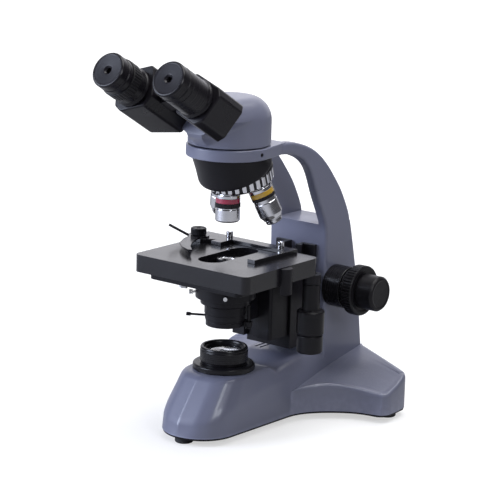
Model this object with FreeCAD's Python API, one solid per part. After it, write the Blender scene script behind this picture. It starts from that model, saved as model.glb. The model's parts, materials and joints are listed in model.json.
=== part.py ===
import FreeCAD, Part
import math
import os

# Binocular compound microscope, millimetres, +Z up, the user sits at -Y.
# Everything is drawn about the optical axis (X = Y = 0) and moved to the footprint's middle at the end.

V = FreeCAD.Vector
X_AXIS = V(1, 0, 0)
Y_AXIS = V(0, 1, 0)
Z_AXIS = V(0, 0, 1)

# ---- driving dimensions ----
Y_MID = 22.0            # optical axis to the middle of the footprint
RUN_FIT = 0.05          # radial clearance of a running shaft
GAP = 0.3               # clearance between faces that slide past each other

FOOT_HEIGHT = 6.0
FOOT_RADIUS = 9.0
PLATE_THICK = 2.0
BASE_Z = FOOT_HEIGHT + PLATE_THICK
WALL = 3.5
TOE_Y = -70.0           # front of the base
TOE_HALF = 37.5         # half width of the toe
WING_X = 112.0          # half span of the wings
REAR_Y = 186.0
PLATEAU_Z = 61.0        # top of the toe, under the illuminator

LIMB_HALF = 35.0        # half width of the limb
LIMB_Y = 116.0          # front face of the limb
LIMB_TOP = 189.0        # floor of the open window in the arm
RIB_THICK = 9.0
RING_RADIUS = 41.0      # head ring at the end of the arm
RING_Z = 270.0
RING_HEIGHT = 11.0

STAGE_X = 68.5          # half size of the stage across
STAGE_Y = 56.5          # half size of the stage front to back
STAGE_TOP = 172.2
STAGE_SKIRT = 17.0

FLANGE_RADIUS = 30.1    # illuminator
FIELD_RADIUS = 23.2
FIELD_TOP = 83.3

SEAT_Z = 234.0          # shoulder of the objective in use
TURRET_TILT = 18.0      # degrees
SEAT_CIRCLE = 21.0      # seats' radius about the turret axis
OBJECTIVE_RADIUS = 11.8

FOCUS_Y = 130.0         # axis of the focus knobs
FOCUS_Z = 126.0

HEAD_RADIUS = 39.5
HEAD_LOW = 281.2
HEAD_TOP = 327.0
TUBE_TILT = 30.0        # degrees above level
HINGE_Z = 297.6         # where the tube hinge axis crosses the optical axis
ARM_LENGTH = 37.5       # hinge axis to tube axis
ARM_DROP = 19.3         # degrees each tube hangs below level
ARM_BACK = 54.0         # along the hinge axis
ARM_FRONT = 91.0
EYE_END = 147.8

FOOT_SPOTS = [(0, -58), (97, 142), (-97, 142)]
SCREW_SPOTS = [(0, -44), (26, 60), (-26, 60), (84, 130), (-84, 130)]
CLEAR_HOLE = 1.7        # cover screw's clearance hole
SPIGOT_HOLE = 3.0       # foot's spigot hole in the cover
LAMP_HOLE = 24.0
VENTS = [(-31, 80), (-25, 80), (-19, 80)]   # left front corner of each slot
VENT_WIDE = 2.5
VENT_LONG = 24.0
INLET_HALF = 14.0       # mains inlet in the back wall
INLET_LOW = 18.0
INLET_HIGH = 38.0
INLET_BACK = 174.0
SWITCH_X = (50.8, 65.2)
SWITCH_Z = (18.8, 31.2)
SWITCH_PIVOT = V(50.85, 171.5, 25)
SWITCH_PIN = 1.2
DIAL_AT = V(-38.8, 20, 27)
DIAL_RADIUS = 9.0

COLLAR_END = 60.0       # focus drive
COLLAR_RADIUS = 21.0
COARSE_RADIUS = 25.0
FINE_RADIUS = 17.5
SLEEVE_RADIUS = 7.0
SHAFT_RADIUS = 4.0
PINION_RADIUS = 8.4
FOCUS_POINT = V(0, FOCUS_Y, FOCUS_Z)
CONDENSER_SHAFT = V(0, 52, 124)
CONDENSER_RADIUS = 24.0
FILTER_AT = V(21, 10, 0)

LOWER_TOP = 154.6       # top of the stage's fixed plate
CARRIER_TOP = 147.0
HOLDER_LOW = STAGE_TOP
HOLDER_HIGH = STAGE_TOP + 4.0
FINGER_AT = V(-60, 31, 0)
DRIVE_AT = V(61, 56, 0)

FRONT_WAY = V(0, -math.cos(math.radians(TUBE_TILT)), math.sin(math.radians(TUBE_TILT)))
DOWN_WAY = V(0, -math.sin(math.radians(TUBE_TILT)), -math.cos(math.radians(TUBE_TILT)))
HINGE_POINT = V(0, 0, HINGE_Z)


# ---- shape helpers ----
def turned(points, at=V(0, 0, 0), axis=Z_AXIS):
    """Solid of revolution from (radius, height) points, stood at a point along an axis."""
    outline = [V(r, 0, z) for r, z in points]
    face = Part.Face(Part.makePolygon(outline + [outline[0]]))
    solid = face.revolve(V(0, 0, 0), Z_AXIS, 360)
    solid = Part.makeSolid(solid.Shells[0]) if solid.ShapeType != "Solid" else solid
    solid.Placement = FreeCAD.Placement(at, FreeCAD.Rotation(Z_AXIS, axis))
    return solid


def disc(radius, low, high, at=V(0, 0, 0), axis=Z_AXIS, bore=0.0):
    """Plain round disc or sleeve between two heights."""
    return turned([(bore, low), (radius, low), (radius, high), (bore, high)], at, axis)


def box(x0, x1, y0, y1, z0, z1):
    """Box between two corners."""
    return Part.makeBox(x1 - x0, y1 - y0, z1 - z0, V(x0, y0, z0))


def rounded_box(x0, x1, y0, y1, z0, z1, radius):
    """Box whose upright edges are rounded."""
    solid = box(x0, x1, y0, y1, z0, z1)
    upright = [e for e in solid.Edges if abs(e.tangentAt(e.FirstParameter).z) > 0.9]
    return solid.makeFillet(radius, upright)


def plan_slab(points, z0, z1):
    """Polygon in plan, raised between two heights."""
    outline = [V(x, y, z0) for x, y in points]
    return Part.Face(Part.makePolygon(outline + [outline[0]])).extrude(V(0, 0, z1 - z0))


def side_slab(points, x0, x1):
    """Polygon seen from the side (Y, Z), carried across from x0 to x1."""
    outline = [V(x0, y, z) for y, z in points]
    return Part.Face(Part.makePolygon(outline + [outline[0]])).extrude(V(x1 - x0, 0, 0))


def mirrored(shape):
    """The shape's other hand, across the plane X = 0."""
    return shape.mirror(V(0, 0, 0), X_AXIS)


def spline_edge(points):
    """Smooth curve through the points."""
    curve = Part.BSplineCurve()
    curve.interpolate(points)
    return curve.toShape()


def arm_frame(x, down, along):
    """Point in the binocular head's frame: across, down-front, and out along the tubes."""
    return HINGE_POINT + X_AXIS * x + DOWN_WAY * down + FRONT_WAY * along


def knurled(radius, bore, low, high, teeth, depth, at=V(0, 0, 0), axis=Z_AXIS):
    """Disc with straight grip flutes round its rim."""
    body = disc(radius, low, high, bore=bore)
    flute = Part.makeCylinder(depth * 1.4, high - low + 2, V(radius + depth * 0.4, 0, low - 1))
    cutters = []
    for i in range(teeth):
        one = flute.copy()
        one.rotate(V(0, 0, 0), Z_AXIS, 360.0 * i / teeth)
        cutters.append(one)
    body = body.cut(Part.makeCompound(cutters))
    body.Placement = FreeCAD.Placement(at, FreeCAD.Rotation(Z_AXIS, axis))
    return body


# ---- stand ----
def footprint(inset, z):
    """Outline of the base in plan: round toe, waist, two wings and a shallow V at the back."""
    half = TOE_HALF - inset
    right = [V(half, -32, z), V(40.5 - inset, 55, z)]
    flank = [right[1], V(47 - inset, 76, z), V(60, 92 + inset, z)]
    flank += [V(80, 107 + inset, z), V(101, 113 + inset, z)]
    tip = [V(101, 113 + inset, z), V(109 - inset, 117 + inset, z), V(WING_X - inset, 126, z)]
    heel = [V(WING_X - inset, 126, z), V(WING_X - 2 - inset, 152 - inset, z)]
    back = [V(WING_X - 2 - inset, 152 - inset, z), V(106 - inset, 159 - inset, z), V(98, 162 - inset, z)]
    tail = [back[2], V(32, 184 - inset, z)]
    edges = [Part.LineSegment(right[0], right[1]).toShape(), spline_edge(flank), Part.Arc(*tip).toShape()]
    edges += [Part.LineSegment(*heel).toShape(), Part.Arc(*back).toShape(), Part.LineSegment(*tail).toShape()]
    left = [e.mirror(V(0, 0, 0), X_AXIS) for e in edges]
    nose = Part.Arc(V(-half, -32, z), V(0, TOE_Y + inset, z), V(half, -32, z)).toShape()
    rear = Part.Arc(V(32, 184 - inset, z), V(0, REAR_Y - inset, z), V(-32, 184 - inset, z)).toShape()
    wire = Part.Wire(Part.__sortEdges__(edges + left + [nose, rear]))
    return Part.Face(wire)


def base_volume(inset, low):
    """The base's outer volume, drawn in by an inset for its hollow."""
    block = footprint(inset, low).extrude(V(0, 0, 80))
    crown = PLATEAU_Z - inset
    profile = [(TOE_Y - 5, low - 1), (TOE_Y - 5 + inset, 14), (TOE_Y + 2 + inset, 22), (-38 + inset, crown)]
    profile += [(33, crown), (43, crown - 6), (76, crown), (LIMB_Y - inset, crown)]
    profile += [(LIMB_Y - inset, 50 - inset), (REAR_Y + 2, 50 - inset), (REAR_Y + 2, low - 1)]
    spine = side_slab(profile, -60, 60)
    shoulder = 41 - inset
    section = [(-shoulder, low - 1), (shoulder, low - 1), (37.5 - inset, 44), (32 - inset, crown + 8)]
    section += [(-32 + inset, crown + 8), (-37.5 + inset, 44)]
    outline = [V(x, -100, z) for x, z in section]
    tunnel = Part.Face(Part.makePolygon(outline + [outline[0]])).extrude(V(0, 300, 0))
    spine = spine.common(tunnel)
    fan = []
    for side in (1, -1):
        top = [(35, 50, 31), (35, 188, 55), (118, 188, 46), (118, 118, 30)]
        high = [V(side * x, y, z - inset) for x, y, z in top]
        low_ring = [V(p.x, p.y, low - 1) for p in high]
        fan.append(ruled_block(low_ring, high))
    fan.append(box(-35.1, 35.1, 50, 188, low - 1, 50 - inset))
    body = spine.fuse(fan[0]).fuse(fan[1]).fuse(fan[2])
    return block.common(body)


def ruled_block(low_ring, high_ring):
    """Solid between two four-cornered rings, with flat triangles for the top."""
    faces = [Part.Face(Part.makePolygon(low_ring + [low_ring[0]]))]
    count = len(low_ring)
    for i in range(count):
        j = (i + 1) % count
        quad = [low_ring[i], low_ring[j], high_ring[j], high_ring[i], low_ring[i]]
        faces.append(Part.Face(Part.makePolygon(quad)))
    for i in range(1, count - 1):
        tri = [high_ring[0], high_ring[i], high_ring[i + 1], high_ring[0]]
        faces.append(Part.Face(Part.makePolygon(tri)))
    shell = Part.makeShell(faces)
    solid = Part.makeSolid(shell)
    return solid if solid.Volume > 0 else solid.reversed()


def base_housing():
    """Hollow casting: open below, bored for the illuminator, with vents, switch and inlet cut-outs."""
    shell = base_volume(0, BASE_Z).cut(base_volume(WALL, BASE_Z - 0.5))
    shell = shell.cut(disc(LAMP_HOLE, 40, 80))
    for x, y in VENTS:
        shell = shell.cut(rounded_box(x, x + VENT_WIDE, y, y + VENT_LONG, 40, 80, 1.2))
    reach = INLET_HALF + 0.2
    shell = shell.cut(box(-reach, reach, 170, 200, INLET_LOW - 0.2, INLET_HIGH + 0.2))
    shell = shell.cut(box(*SWITCH_X, 160, 190, *SWITCH_Z))
    shell = shell.cut(disc(DIAL_RADIUS + 0.5, -8.8, 11.2, DIAL_AT, V(-1, 0, 0)))
    for x, y in SCREW_SPOTS:
        boss = disc(4.5, BASE_Z, PLATEAU_Z - WALL, V(x, y, 0)).common(base_volume(1.0, BASE_Z))
        shell = shell.fuse(boss.cut(disc(1.5, 0, 22, V(x, y, 0))))
    return shell.removeSplitter()


def base_plate():
    """Flat cover that closes the base from below."""
    plate = footprint(0.8, FOOT_HEIGHT).extrude(V(0, 0, PLATE_THICK))
    for x, y in SCREW_SPOTS:
        plate = plate.cut(disc(CLEAR_HOLE, 0, 20, V(x, y, 0)))
    for x, y in FOOT_SPOTS:
        plate = plate.cut(disc(SPIGOT_HOLE, 0, 20, V(x, y, 0)))
    return plate


def feet():
    """Turned rubber feet, each with a spigot through the cover."""
    spigot = SPIGOT_HOLE - 0.1
    profile = [(0, 0), (FOOT_RADIUS - 1, 0), (FOOT_RADIUS, 1), (FOOT_RADIUS - 0.7, FOOT_HEIGHT)]
    profile += [(spigot, FOOT_HEIGHT), (spigot, BASE_Z + 3), (0, BASE_Z + 3)]
    return [turned(profile, V(x, y, 0)) for x, y in FOOT_SPOTS]


def base_screws():
    """Pan-head screws that hold the cover to the casting's bosses."""
    profile = [(0, FOOT_HEIGHT - 2), (3, FOOT_HEIGHT - 2), (3, FOOT_HEIGHT), (1.45, FOOT_HEIGHT)]
    profile += [(1.45, 20), (0, 20)]
    return [turned(profile, V(x, y, 0)) for x, y in SCREW_SPOTS]


def arm_side(inner, outer):
    """Side face of the arm between its inner and outer curves, at X = 0."""
    inner_edge = spline_edge([V(0, y, z) for y, z in inner])
    outer_edge = spline_edge([V(0, y, z) for y, z in outer])
    ends = []
    for a, b in ((inner[0], outer[0]), (inner[-1], outer[-1])):
        ends.append(Part.LineSegment(V(0, *a), V(0, *b)).toShape())
    return Part.Face(Part.Wire(Part.__sortEdges__([inner_edge, ends[0], outer_edge, ends[1]])))


ARM_INNER = [(34, RING_Z), (52, 268.5), (68, 263), (79, 255), (90, 236), (98, 219), (107, 202), (114.5, 186)]
ARM_OUTER = [(34, RING_Z + 9), (52, 278), (78, 274), (103, 261), (129, 234), (148, 206), (158, 181)]


def arm():
    """One casting: limb, two curved ribs with an open window between them, and the head ring."""
    limb_profile = [(LIMB_Y, 50), (LIMB_Y, 62), (LIMB_Y - 2, LIMB_TOP), (155.2, LIMB_TOP), (158, 181)]
    limb_profile += [(165, 152), (173, 118), (179, 82), (183.5, 50)]
    limb = side_slab(limb_profile, -LIMB_HALF, LIMB_HALF)
    rib = arm_side(ARM_INNER, ARM_OUTER).extrude(V(RIB_THICK, 0, 0))
    right_rib = rib.translated(V(LIMB_HALF - RIB_THICK, 0, 0))
    body = limb.fuse(right_rib).fuse(mirrored(right_rib))
    ring = disc(RING_RADIUS, RING_Z, RING_Z + RING_HEIGHT)
    root = [(-RING_RADIUS + 0.1, 3), (RING_RADIUS - 0.1, 3), (LIMB_HALF, 36), (LIMB_HALF, 46)]
    root += [(-LIMB_HALF, 46), (-LIMB_HALF, 36)]
    ring = ring.fuse(plan_slab(root, RING_Z, RING_Z + 8.6))
    body = body.fuse(ring).cut(disc(29.0, RING_Z - 20, RING_Z + 30))
    body = body.cut(Part.makeCylinder(2.05, 20, V(26, -2, RING_Z + 5.5), X_AXIS))
    body = body.cut(Part.makeCylinder(12.0, 100, V(-50, FOCUS_Y, FOCUS_Z), X_AXIS))
    body = body.cut(box(-11.5, 11.5, LIMB_Y - 3, FOCUS_Y, 68, 172))
    return body.removeSplitter()


def head_lock_screw():
    """Socket set screw in the ring's side that pinches the head's dovetail."""
    screw = Part.makeCylinder(1.95, 10.5, V(30, -2, RING_Z + 5.5), X_AXIS)
    return screw.cut(Part.makeCylinder(1.0, 3, V(38, -2, RING_Z + 5.5), X_AXIS))


# ---- light ----
def illuminator_flange():
    """Turned flange on the toe, with a spigot in the casting's lamp hole."""
    profile = [(16, 52), (LAMP_HOLE - 0.5, 52), (LAMP_HOLE - 0.5, PLATEAU_Z), (FLANGE_RADIUS, PLATEAU_Z)]
    profile += [(FLANGE_RADIUS, PLATEAU_Z + 4.5), (FLANGE_RADIUS - 1.5, PLATEAU_Z + 6), (16, PLATEAU_Z + 6)]
    return turned(profile)


def field_ring():
    """Knurled collar that holds the field lens, screwed to the flange."""
    low = PLATEAU_Z + 6
    profile = [(17.5, low), (FIELD_RADIUS - 1, low), (FIELD_RADIUS - 1, low + 2), (FIELD_RADIUS, low + 2)]
    profile += [(FIELD_RADIUS, FIELD_TOP - 3), (FIELD_RADIUS - 1, FIELD_TOP), (19.5, FIELD_TOP)]
    profile += [(18.5, FIELD_TOP - 2.5), (17.5, FIELD_TOP - 2.5)]
    return turned(profile)


def field_lens():
    top = FIELD_TOP - 2.6
    dome = [(0, top - 6), (17.4, top - 6), (17.4, top - 2.5), (12, top - 0.9), (6, top - 0.2), (0, top)]
    return turned(dome)


def lamp():
    """Lamp holder on the cover plate, with its LED."""
    holder = turned([(0, BASE_Z), (10, BASE_Z), (10, 14), (7, 16), (7, 34), (0, 34)])
    led = turned([(0, 34), (4, 34), (4, 36), (2.8, 38.5), (0, 39.5)])
    return [holder, led]


def circuit_board():
    """Lamp supply board on four posts, with its coil."""
    board = box(-24, 24, 66, 120, 14, 15.6)
    posts = [disc(2.5, BASE_Z, 14, V(x, y, 0)) for x in (-20, 20) for y in (70, 116)]
    coil = box(-10, 8, 84, 104, 15.6, 27)
    return [board, coil] + posts


def power_inlet():
    """Three-pin mains inlet in the back of the base."""
    body = box(-INLET_HALF, INLET_HALF, INLET_BACK, REAR_Y, INLET_LOW, INLET_HIGH)
    body = body.cut(rounded_box(-11, 11, 178, 196, 21, 35, 2))
    pins = [box(x - 1, x + 1, 178, 181, z - 1.6, z + 1.6) for x, z in ((-5.5, 26), (0, 30), (5.5, 26))]
    for pin in pins:
        body = body.fuse(pin)
    return [body, switch_frame()]


def power_switch():
    """Rocker, turning on two short pins across its housing."""
    rocker = side_slab([(169, 22), (175.2, 19.6), (176.6, 25), (175.2, 30.4), (169, 28)], 51.3, 64.7)
    return rocker.fuse(Part.makeCylinder(SWITCH_PIN, 14.3, SWITCH_PIVOT, X_AXIS))


def switch_frame():
    """Frame that carries the rocker in the wing's back wall."""
    inside = [SWITCH_X[0] + 0.3, SWITCH_X[1] - 0.3, 160, 190, SWITCH_Z[0] + 0.3, SWITCH_Z[1] - 0.3]
    frame = box(*SWITCH_X, 168, 176.8, *SWITCH_Z).cut(box(*inside))
    return frame.cut(disc(SWITCH_PIN + RUN_FIT, -3, 17, SWITCH_PIVOT, X_AXIS))


def brightness_dial():
    """Finger wheel on the left of the toe, on its potentiometer shaft."""
    inward = V(-1, 0, 0)
    wheel = knurled(DIAL_RADIUS, 0, 0, 8.0, 24, 0.6, DIAL_AT, inward)
    return wheel.fuse(disc(3.0, -13.8, 0.2, DIAL_AT, inward))


# ---- nosepiece ----
TILT = math.radians(TURRET_TILT)
SPOKE = V(0, -math.cos(TILT), -math.sin(TILT))
TURRET_UP = V(0, -math.sin(TILT), math.cos(TILT))
TURRET_CENTRE = V(0, 0, SEAT_Z) - SPOKE * SEAT_CIRCLE
CONE_LOW = 33.0         # radii of the black cone above the turret
CONE_HIGH = 36.0
CAVITY_TOP = 15.4       # above the turret's centre, along its axis


def objective_seat(phase):
    """Seat point and pointing direction of the objective at a turn angle from the front."""
    turn = math.radians(phase)
    out = SPOKE * math.cos(turn) + X_AXIS * math.sin(turn)
    return TURRET_CENTRE + out * SEAT_CIRCLE, TURRET_UP * -math.cos(TILT) + out * math.sin(TILT)


def nosepiece_housing():
    """Black cone that hangs from the ring and carries the tilted turret."""
    low_circle = Part.Wire(Part.makeCircle(CONE_LOW, TURRET_CENTRE + TURRET_UP * 13.6, TURRET_UP))
    high_circle = Part.Wire(Part.makeCircle(CONE_HIGH, V(0, 0, RING_Z - 0.01), Z_AXIS))
    cone = Part.makeLoft([low_circle, high_circle], True)
    neck = disc(28.8, RING_Z - 2, RING_Z + 7)
    body = cone.fuse(neck)
    body = body.cut(disc(11.0, 200, 300))
    body = body.cut(disc(25.0, 10.0, CAVITY_TOP, TURRET_CENTRE, TURRET_UP))
    post = disc(4.0, -1, 23, TURRET_CENTRE, TURRET_UP)
    return body.fuse(post).removeSplitter()


def turret_plate():
    """Revolving disc with four objective seats."""
    cap = [(4 + RUN_FIT, -3.5), (16, -3.5), (30.0, 1.6), (30.4, 3.1), (30.4, 7.4), (24.7, 7.4)]
    cap += [(24.7, 12.8), (22.0, 13.3), (4 + RUN_FIT, 13.3)]
    body = turned(cap, TURRET_CENTRE, TURRET_UP)
    for phase, length, nose in OBJECTIVES.values():
        seat, way = objective_seat(phase)
        body = body.cut(Part.makeCylinder(8.2, 24, seat - way * 18, way))
        body = body.cut(Part.makeCylinder(OBJECTIVE_RADIUS + 0.6, 12, seat, way))
    return body.removeSplitter()


def turret_grip_ring():
    """Bright fluted rim that the fingers turn."""
    rim = knurled(32.4, 24.75, 3.2, 13.2, 40, 0.7, TURRET_CENTRE, TURRET_UP)
    return rim.cut(disc(30.45, 0, 7.5, TURRET_CENTRE, TURRET_UP))


# turn angle, length and the barrel's outline from its grip to its tip
OBJECTIVES = {
    "objective_4x": (0, 28.0, [(11.8, 12), (11.8, 27), (9.5, 28)]),
    "objective_10x": (90, 38.5, [(11.6, 16), (11.6, 24), (9.2, 32), (7.2, 34), (7.2, 38), (6, 38.5)]),
    "objective_40x": (180, 43.5, [(11.6, 16), (11.6, 27), (8.6, 36), (5.5, 38), (4.5, 43.5)]),
    "objective_100x": (270, 43.5, [(11.6, 16), (11.6, 29), (8.6, 37), (5.0, 40), (3.8, 43.5)]),
}
NECK = 1.8
BAND_LOW = 6.5
BAND_HIGH = 9.5
BAND_BORE = 11.0


def objective(name):
    """Turned barrel with its mounting thread, shoulder, colour-ring groove and nose."""
    phase, length, nose = OBJECTIVES[name]
    seat, way = objective_seat(phase)
    profile = [(4, -4.5), (8.1, -4.5), (8.1, 0), (9.5, 0), (9.5, NECK), (OBJECTIVE_RADIUS, NECK)]
    profile += [(OBJECTIVE_RADIUS, BAND_LOW), (BAND_BORE, BAND_LOW), (BAND_BORE, BAND_HIGH)]
    profile += [(12.0, BAND_HIGH), (12.0, 12)]
    profile += nose + [(3.0, length), (3.0, length - 1.6), (4, length - 3)]
    return turned(profile, seat, way)


def colour_rings():
    """Enamelled identity rings in the objectives' grooves."""
    rings = []
    for phase, length, nose in OBJECTIVES.values():
        seat, way = objective_seat(phase)
        rings.append(disc(OBJECTIVE_RADIUS, BAND_LOW, BAND_HIGH, seat, way, bore=BAND_BORE))
    return rings


def objective_lenses():
    """Front lenses, set just inside the objectives' tips."""
    lenses = []
    for phase, length, nose in OBJECTIVES.values():
        seat, way = objective_seat(phase)
        lenses.append(disc(3.0, length - 1.5, length - 0.3, seat, way))
    return lenses


# ---- binocular head ----
HEAD_SIDE = [(HEAD_RADIUS, HEAD_LOW), (HEAD_RADIUS, 306), (35, 316), (26, 323), (12, 326.5), (0, HEAD_TOP)]


def snout_ring(waist, front, z):
    """Outline of the head's front at one height, narrowing to its face."""
    corners = [V(-waist, 0, z), V(-front, -66, z), V(front, -66, z), V(waist, 0, z)]
    return Part.makePolygon(corners + corners[:1])


def head_housing():
    """Hollow prism housing on a round dovetail foot; its slanted face carries the tubes' hinge."""
    top_front = arm_frame(0, -7.0, ARM_BACK - 2.2)
    low_front = arm_frame(0, 31.0, ARM_BACK - 2.2)
    profile = HEAD_SIDE + [(top_front.y + 4, HEAD_TOP), (top_front.y, top_front.z - 1)]
    profile += [(low_front.y, low_front.z), (low_front.y + 3, low_front.z - 4), (-HEAD_RADIUS, HEAD_LOW)]
    side = side_slab(profile, -50, 50)
    rear = disc(HEAD_RADIUS, HEAD_LOW, 340)
    waist = HEAD_RADIUS - 0.02
    rings = [snout_ring(waist, 6.0, HEAD_LOW), snout_ring(waist, 9.0, 296.6), snout_ring(waist, 34.0, 309)]
    chin = Part.makeLoft(rings, True, True)
    snout = plan_slab([(-waist, 0), (-34, -66), (34, -66), (waist, 0)], 309, 340)
    body = rear.fuse(chin).fuse(snout).common(side)
    hollow = box(-26, 26, -6, 22, 284, 316).fuse(box(-16, 16, -34, 0, 284, 312)).fuse(disc(12, 275, 290))
    body = body.cut(hollow)
    foot = disc(28.7, RING_Z + 7.2, HEAD_LOW, bore=12.0)
    body = body.fuse(foot)
    pin_hole = Part.makeCylinder(10.0, 30, arm_frame(0, 0, ARM_BACK - 24), FRONT_WAY)
    return body.cut(pin_hole).removeSplitter()


def head_prism():
    """Glass block that sends the light out along the tubes."""
    return side_slab([(14, 285), (14, 312), (-14, 312), (-14, 285)], -13, 13)


def hub_pin():
    """Pin the two tube arms turn on, with its flange in front carrying the eye-spacing scale."""
    profile = [(0, ARM_BACK - 20), (9.9, ARM_BACK - 20), (9.9, ARM_BACK - 2.5), (9.0, ARM_BACK - 2.5)]
    profile += [(9.0, ARM_FRONT + 0.4), (15.0, ARM_FRONT + 0.4), (15.0, ARM_FRONT + 3), (0, ARM_FRONT + 3)]
    return turned(profile, HINGE_POINT, FRONT_WAY)


def arm_slab(points, back, front):
    """Polygon across the hinge axis (out, down), carried along it; the arm lies level."""
    outline = [arm_frame(x, down, back) for x, down in points]
    return Part.Face(Part.makePolygon(outline + [outline[0]])).extrude(FRONT_WAY * (front - back))


def tube_arm(side):
    """Half of the head: a hollow box that swings on the hub pin and holds one eye tube."""
    middle = (ARM_BACK + ARM_FRONT) / 2
    outline = [(14, -14), (18, -18), (45, -18), (50, -13), (50, 13), (45, 18), (26, 18), (14, 5)]
    body = arm_slab(outline, ARM_BACK, ARM_FRONT)
    own = (ARM_BACK, middle - GAP / 2) if side > 0 else (middle + GAP / 2, ARM_FRONT)
    other = (middle - GAP / 2, ARM_FRONT + 1) if side > 0 else (ARM_BACK - 1, middle + GAP / 2)
    bridge = arm_slab([(0, -13), (20, -13), (20, 13), (0, 13)], *own)
    knuckle = disc(15.0, own[0], own[1], HINGE_POINT, FRONT_WAY)
    relief = disc(15.6, other[0], other[1], HINGE_POINT, FRONT_WAY)
    body = body.cut(relief).fuse(bridge.common(body.fuse(knuckle).fuse(bridge))).fuse(knuckle)
    body = body.cut(disc(9.0 + RUN_FIT, ARM_BACK - 1, ARM_FRONT + 1, HINGE_POINT, FRONT_WAY))
    bore_at = arm_frame(ARM_LENGTH, 0, 0)
    body = body.cut(disc(10.5, ARM_BACK + 3, ARM_FRONT + 1, bore_at, FRONT_WAY))
    body.rotate(HINGE_POINT, FRONT_WAY, -ARM_DROP)
    body = body.removeSplitter()
    return body if side > 0 else mirrored(body)


def tube_point(side):
    """Where the tube's axis crosses the plane through the optical axis."""
    drop = math.radians(ARM_DROP)
    return arm_frame(side * ARM_LENGTH * math.cos(drop), ARM_LENGTH * math.sin(drop), 0)


def eye_tube(side):
    """Sleeve screwed into the arm, flared where it meets it."""
    length = 119.0 if side < 0 else 131.0
    profile = [(9.0, ARM_BACK + 8), (10.4, ARM_BACK + 8), (10.4, ARM_FRONT + 0.1), (17.0, ARM_FRONT + 0.1)]
    profile += [(18.4, ARM_FRONT + 1.5), (18.4, ARM_FRONT + 5), (17.4, ARM_FRONT + 7), (17.4, length)]
    profile += [(11.65, length), (11.65, ARM_FRONT + 8), (9.0, ARM_FRONT + 8)]
    return turned(profile, tube_point(side), FRONT_WAY)


def dioptre_ring():
    """Ring on the left tube that trims the focus for one eye."""
    return knurled(18.4, 11.65, 119.0 + GAP, 131.0, 36, 0.5, tube_point(-1), FRONT_WAY)


def eyepiece(side):
    """Eyepiece barrel: sleeve in the tube, body above it, and a rimmed top."""
    start = 131.0 + GAP
    profile = [(9.8, 104), (11.6, 104), (11.6, start), (17.4, start), (17.4, start + 5.5)]
    profile += [(16.6, start + 6.5), (16.6, start + 8.5), (17.2, start + 9), (17.2, EYE_END - 1.6)]
    profile += [(15.8, EYE_END), (7.5, EYE_END), (6.0, EYE_END - 2.2), (6.0, start + 4), (9.8, start + 4)]
    return turned(profile, tube_point(side), FRONT_WAY)


# ---- focus ----
def focus_guide():
    """Fixed guide plate bolted to the limb's front face, with a dovetail rail."""
    plate = box(-24, 24, LIMB_Y - 6, LIMB_Y - 2.1, 76, 168)
    rail = plan_slab([(-10, LIMB_Y - 6), (-14, LIMB_Y - 14), (14, LIMB_Y - 14), (10, LIMB_Y - 6)], 76, 168)
    body = plate.fuse(rail)
    return body.cut(box(-6.5, 6.5, LIMB_Y - 20, LIMB_Y, 70, 175)).removeSplitter()


def stage_carrier():
    """Block that rides on the guide and carries the stage and the condenser."""
    rear = box(-26.5, 26.5, 70, LIMB_Y - 6.3, 70, CARRIER_TOP)
    way = [(-10.3, LIMB_Y - 5), (-14.4, LIMB_Y - 14.3), (14.4, LIMB_Y - 14.3), (10.3, LIMB_Y - 5)]
    rear = rear.cut(plan_slab(way, 60, 160))
    front = rounded_box(-24, 24, 41, 71, 83.5, CARRIER_TOP, 3)
    body = rear.fuse(front)
    body = body.cut(box(-8.2, 8.2, 36, 46.2, 80, 150))
    return body.cut(disc(3.0 + RUN_FIT, -1, 40, CONDENSER_SHAFT, V(-1, 0, 0))).removeSplitter()


def focus_rack():
    """Toothed rack behind the carrier, reaching through the guide to the pinion."""
    bar = box(-5, 5, 101.8, 119.2, 78, 146)
    teeth = []
    for i in range(20):
        z = 80 + i * 3.14
        teeth.append(side_slab([(119.1, z), (121.2, z + 0.6), (121.2, z + 1.4), (119.1, z + 2)], -4, 4))
    return bar.fuse(Part.makeCompound(teeth)).removeSplitter()


def focus_collars():
    """Fixed sleeves on both flanks of the limb that the coarse sleeve turns in."""
    bore = SLEEVE_RADIUS + RUN_FIT
    profile = [(bore, 24), (12.0, 24), (12.0, LIMB_HALF), (COLLAR_RADIUS, LIMB_HALF), (COLLAR_RADIUS, 55)]
    profile += [(16, 55), (16, COLLAR_END), (bore, COLLAR_END)]
    return [turned(profile, FOCUS_POINT, V(side, 0, 0)) for side in (1, -1)]


def tension_ring():
    """Knurled ring on the right collar that sets how stiffly the coarse knob turns."""
    return knurled(20.0, 16.0 + RUN_FIT, 55.3, 59.8, 30, 0.6, FOCUS_POINT, X_AXIS)


def coarse_sleeve():
    """Hollow shaft with the focus pinion, between the two coarse knobs."""
    tube = disc(SLEEVE_RADIUS, -66, 66, FOCUS_POINT, X_AXIS, bore=SHAFT_RADIUS + RUN_FIT)
    pinion = knurled(PINION_RADIUS, 6.0, -4.5, 4.5, 18, 0.9, FOCUS_POINT, X_AXIS)
    return tube.fuse(pinion).removeSplitter()


def coarse_knob(side):
    """Fluted knob pressed on the sleeve's end, recessed for the fine knob."""
    way = V(side, 0, 0)
    knob = knurled(COARSE_RADIUS, SLEEVE_RADIUS, COLLAR_END + 0.5, 72, 48, 0.5, FOCUS_POINT, way)
    return knob.cut(disc(12, 68, 80, FOCUS_POINT, way))


def fine_shaft():
    """Shaft between the two fine knobs, inside the coarse sleeve."""
    return disc(SHAFT_RADIUS, -86, 86, FOCUS_POINT, X_AXIS)


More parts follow.
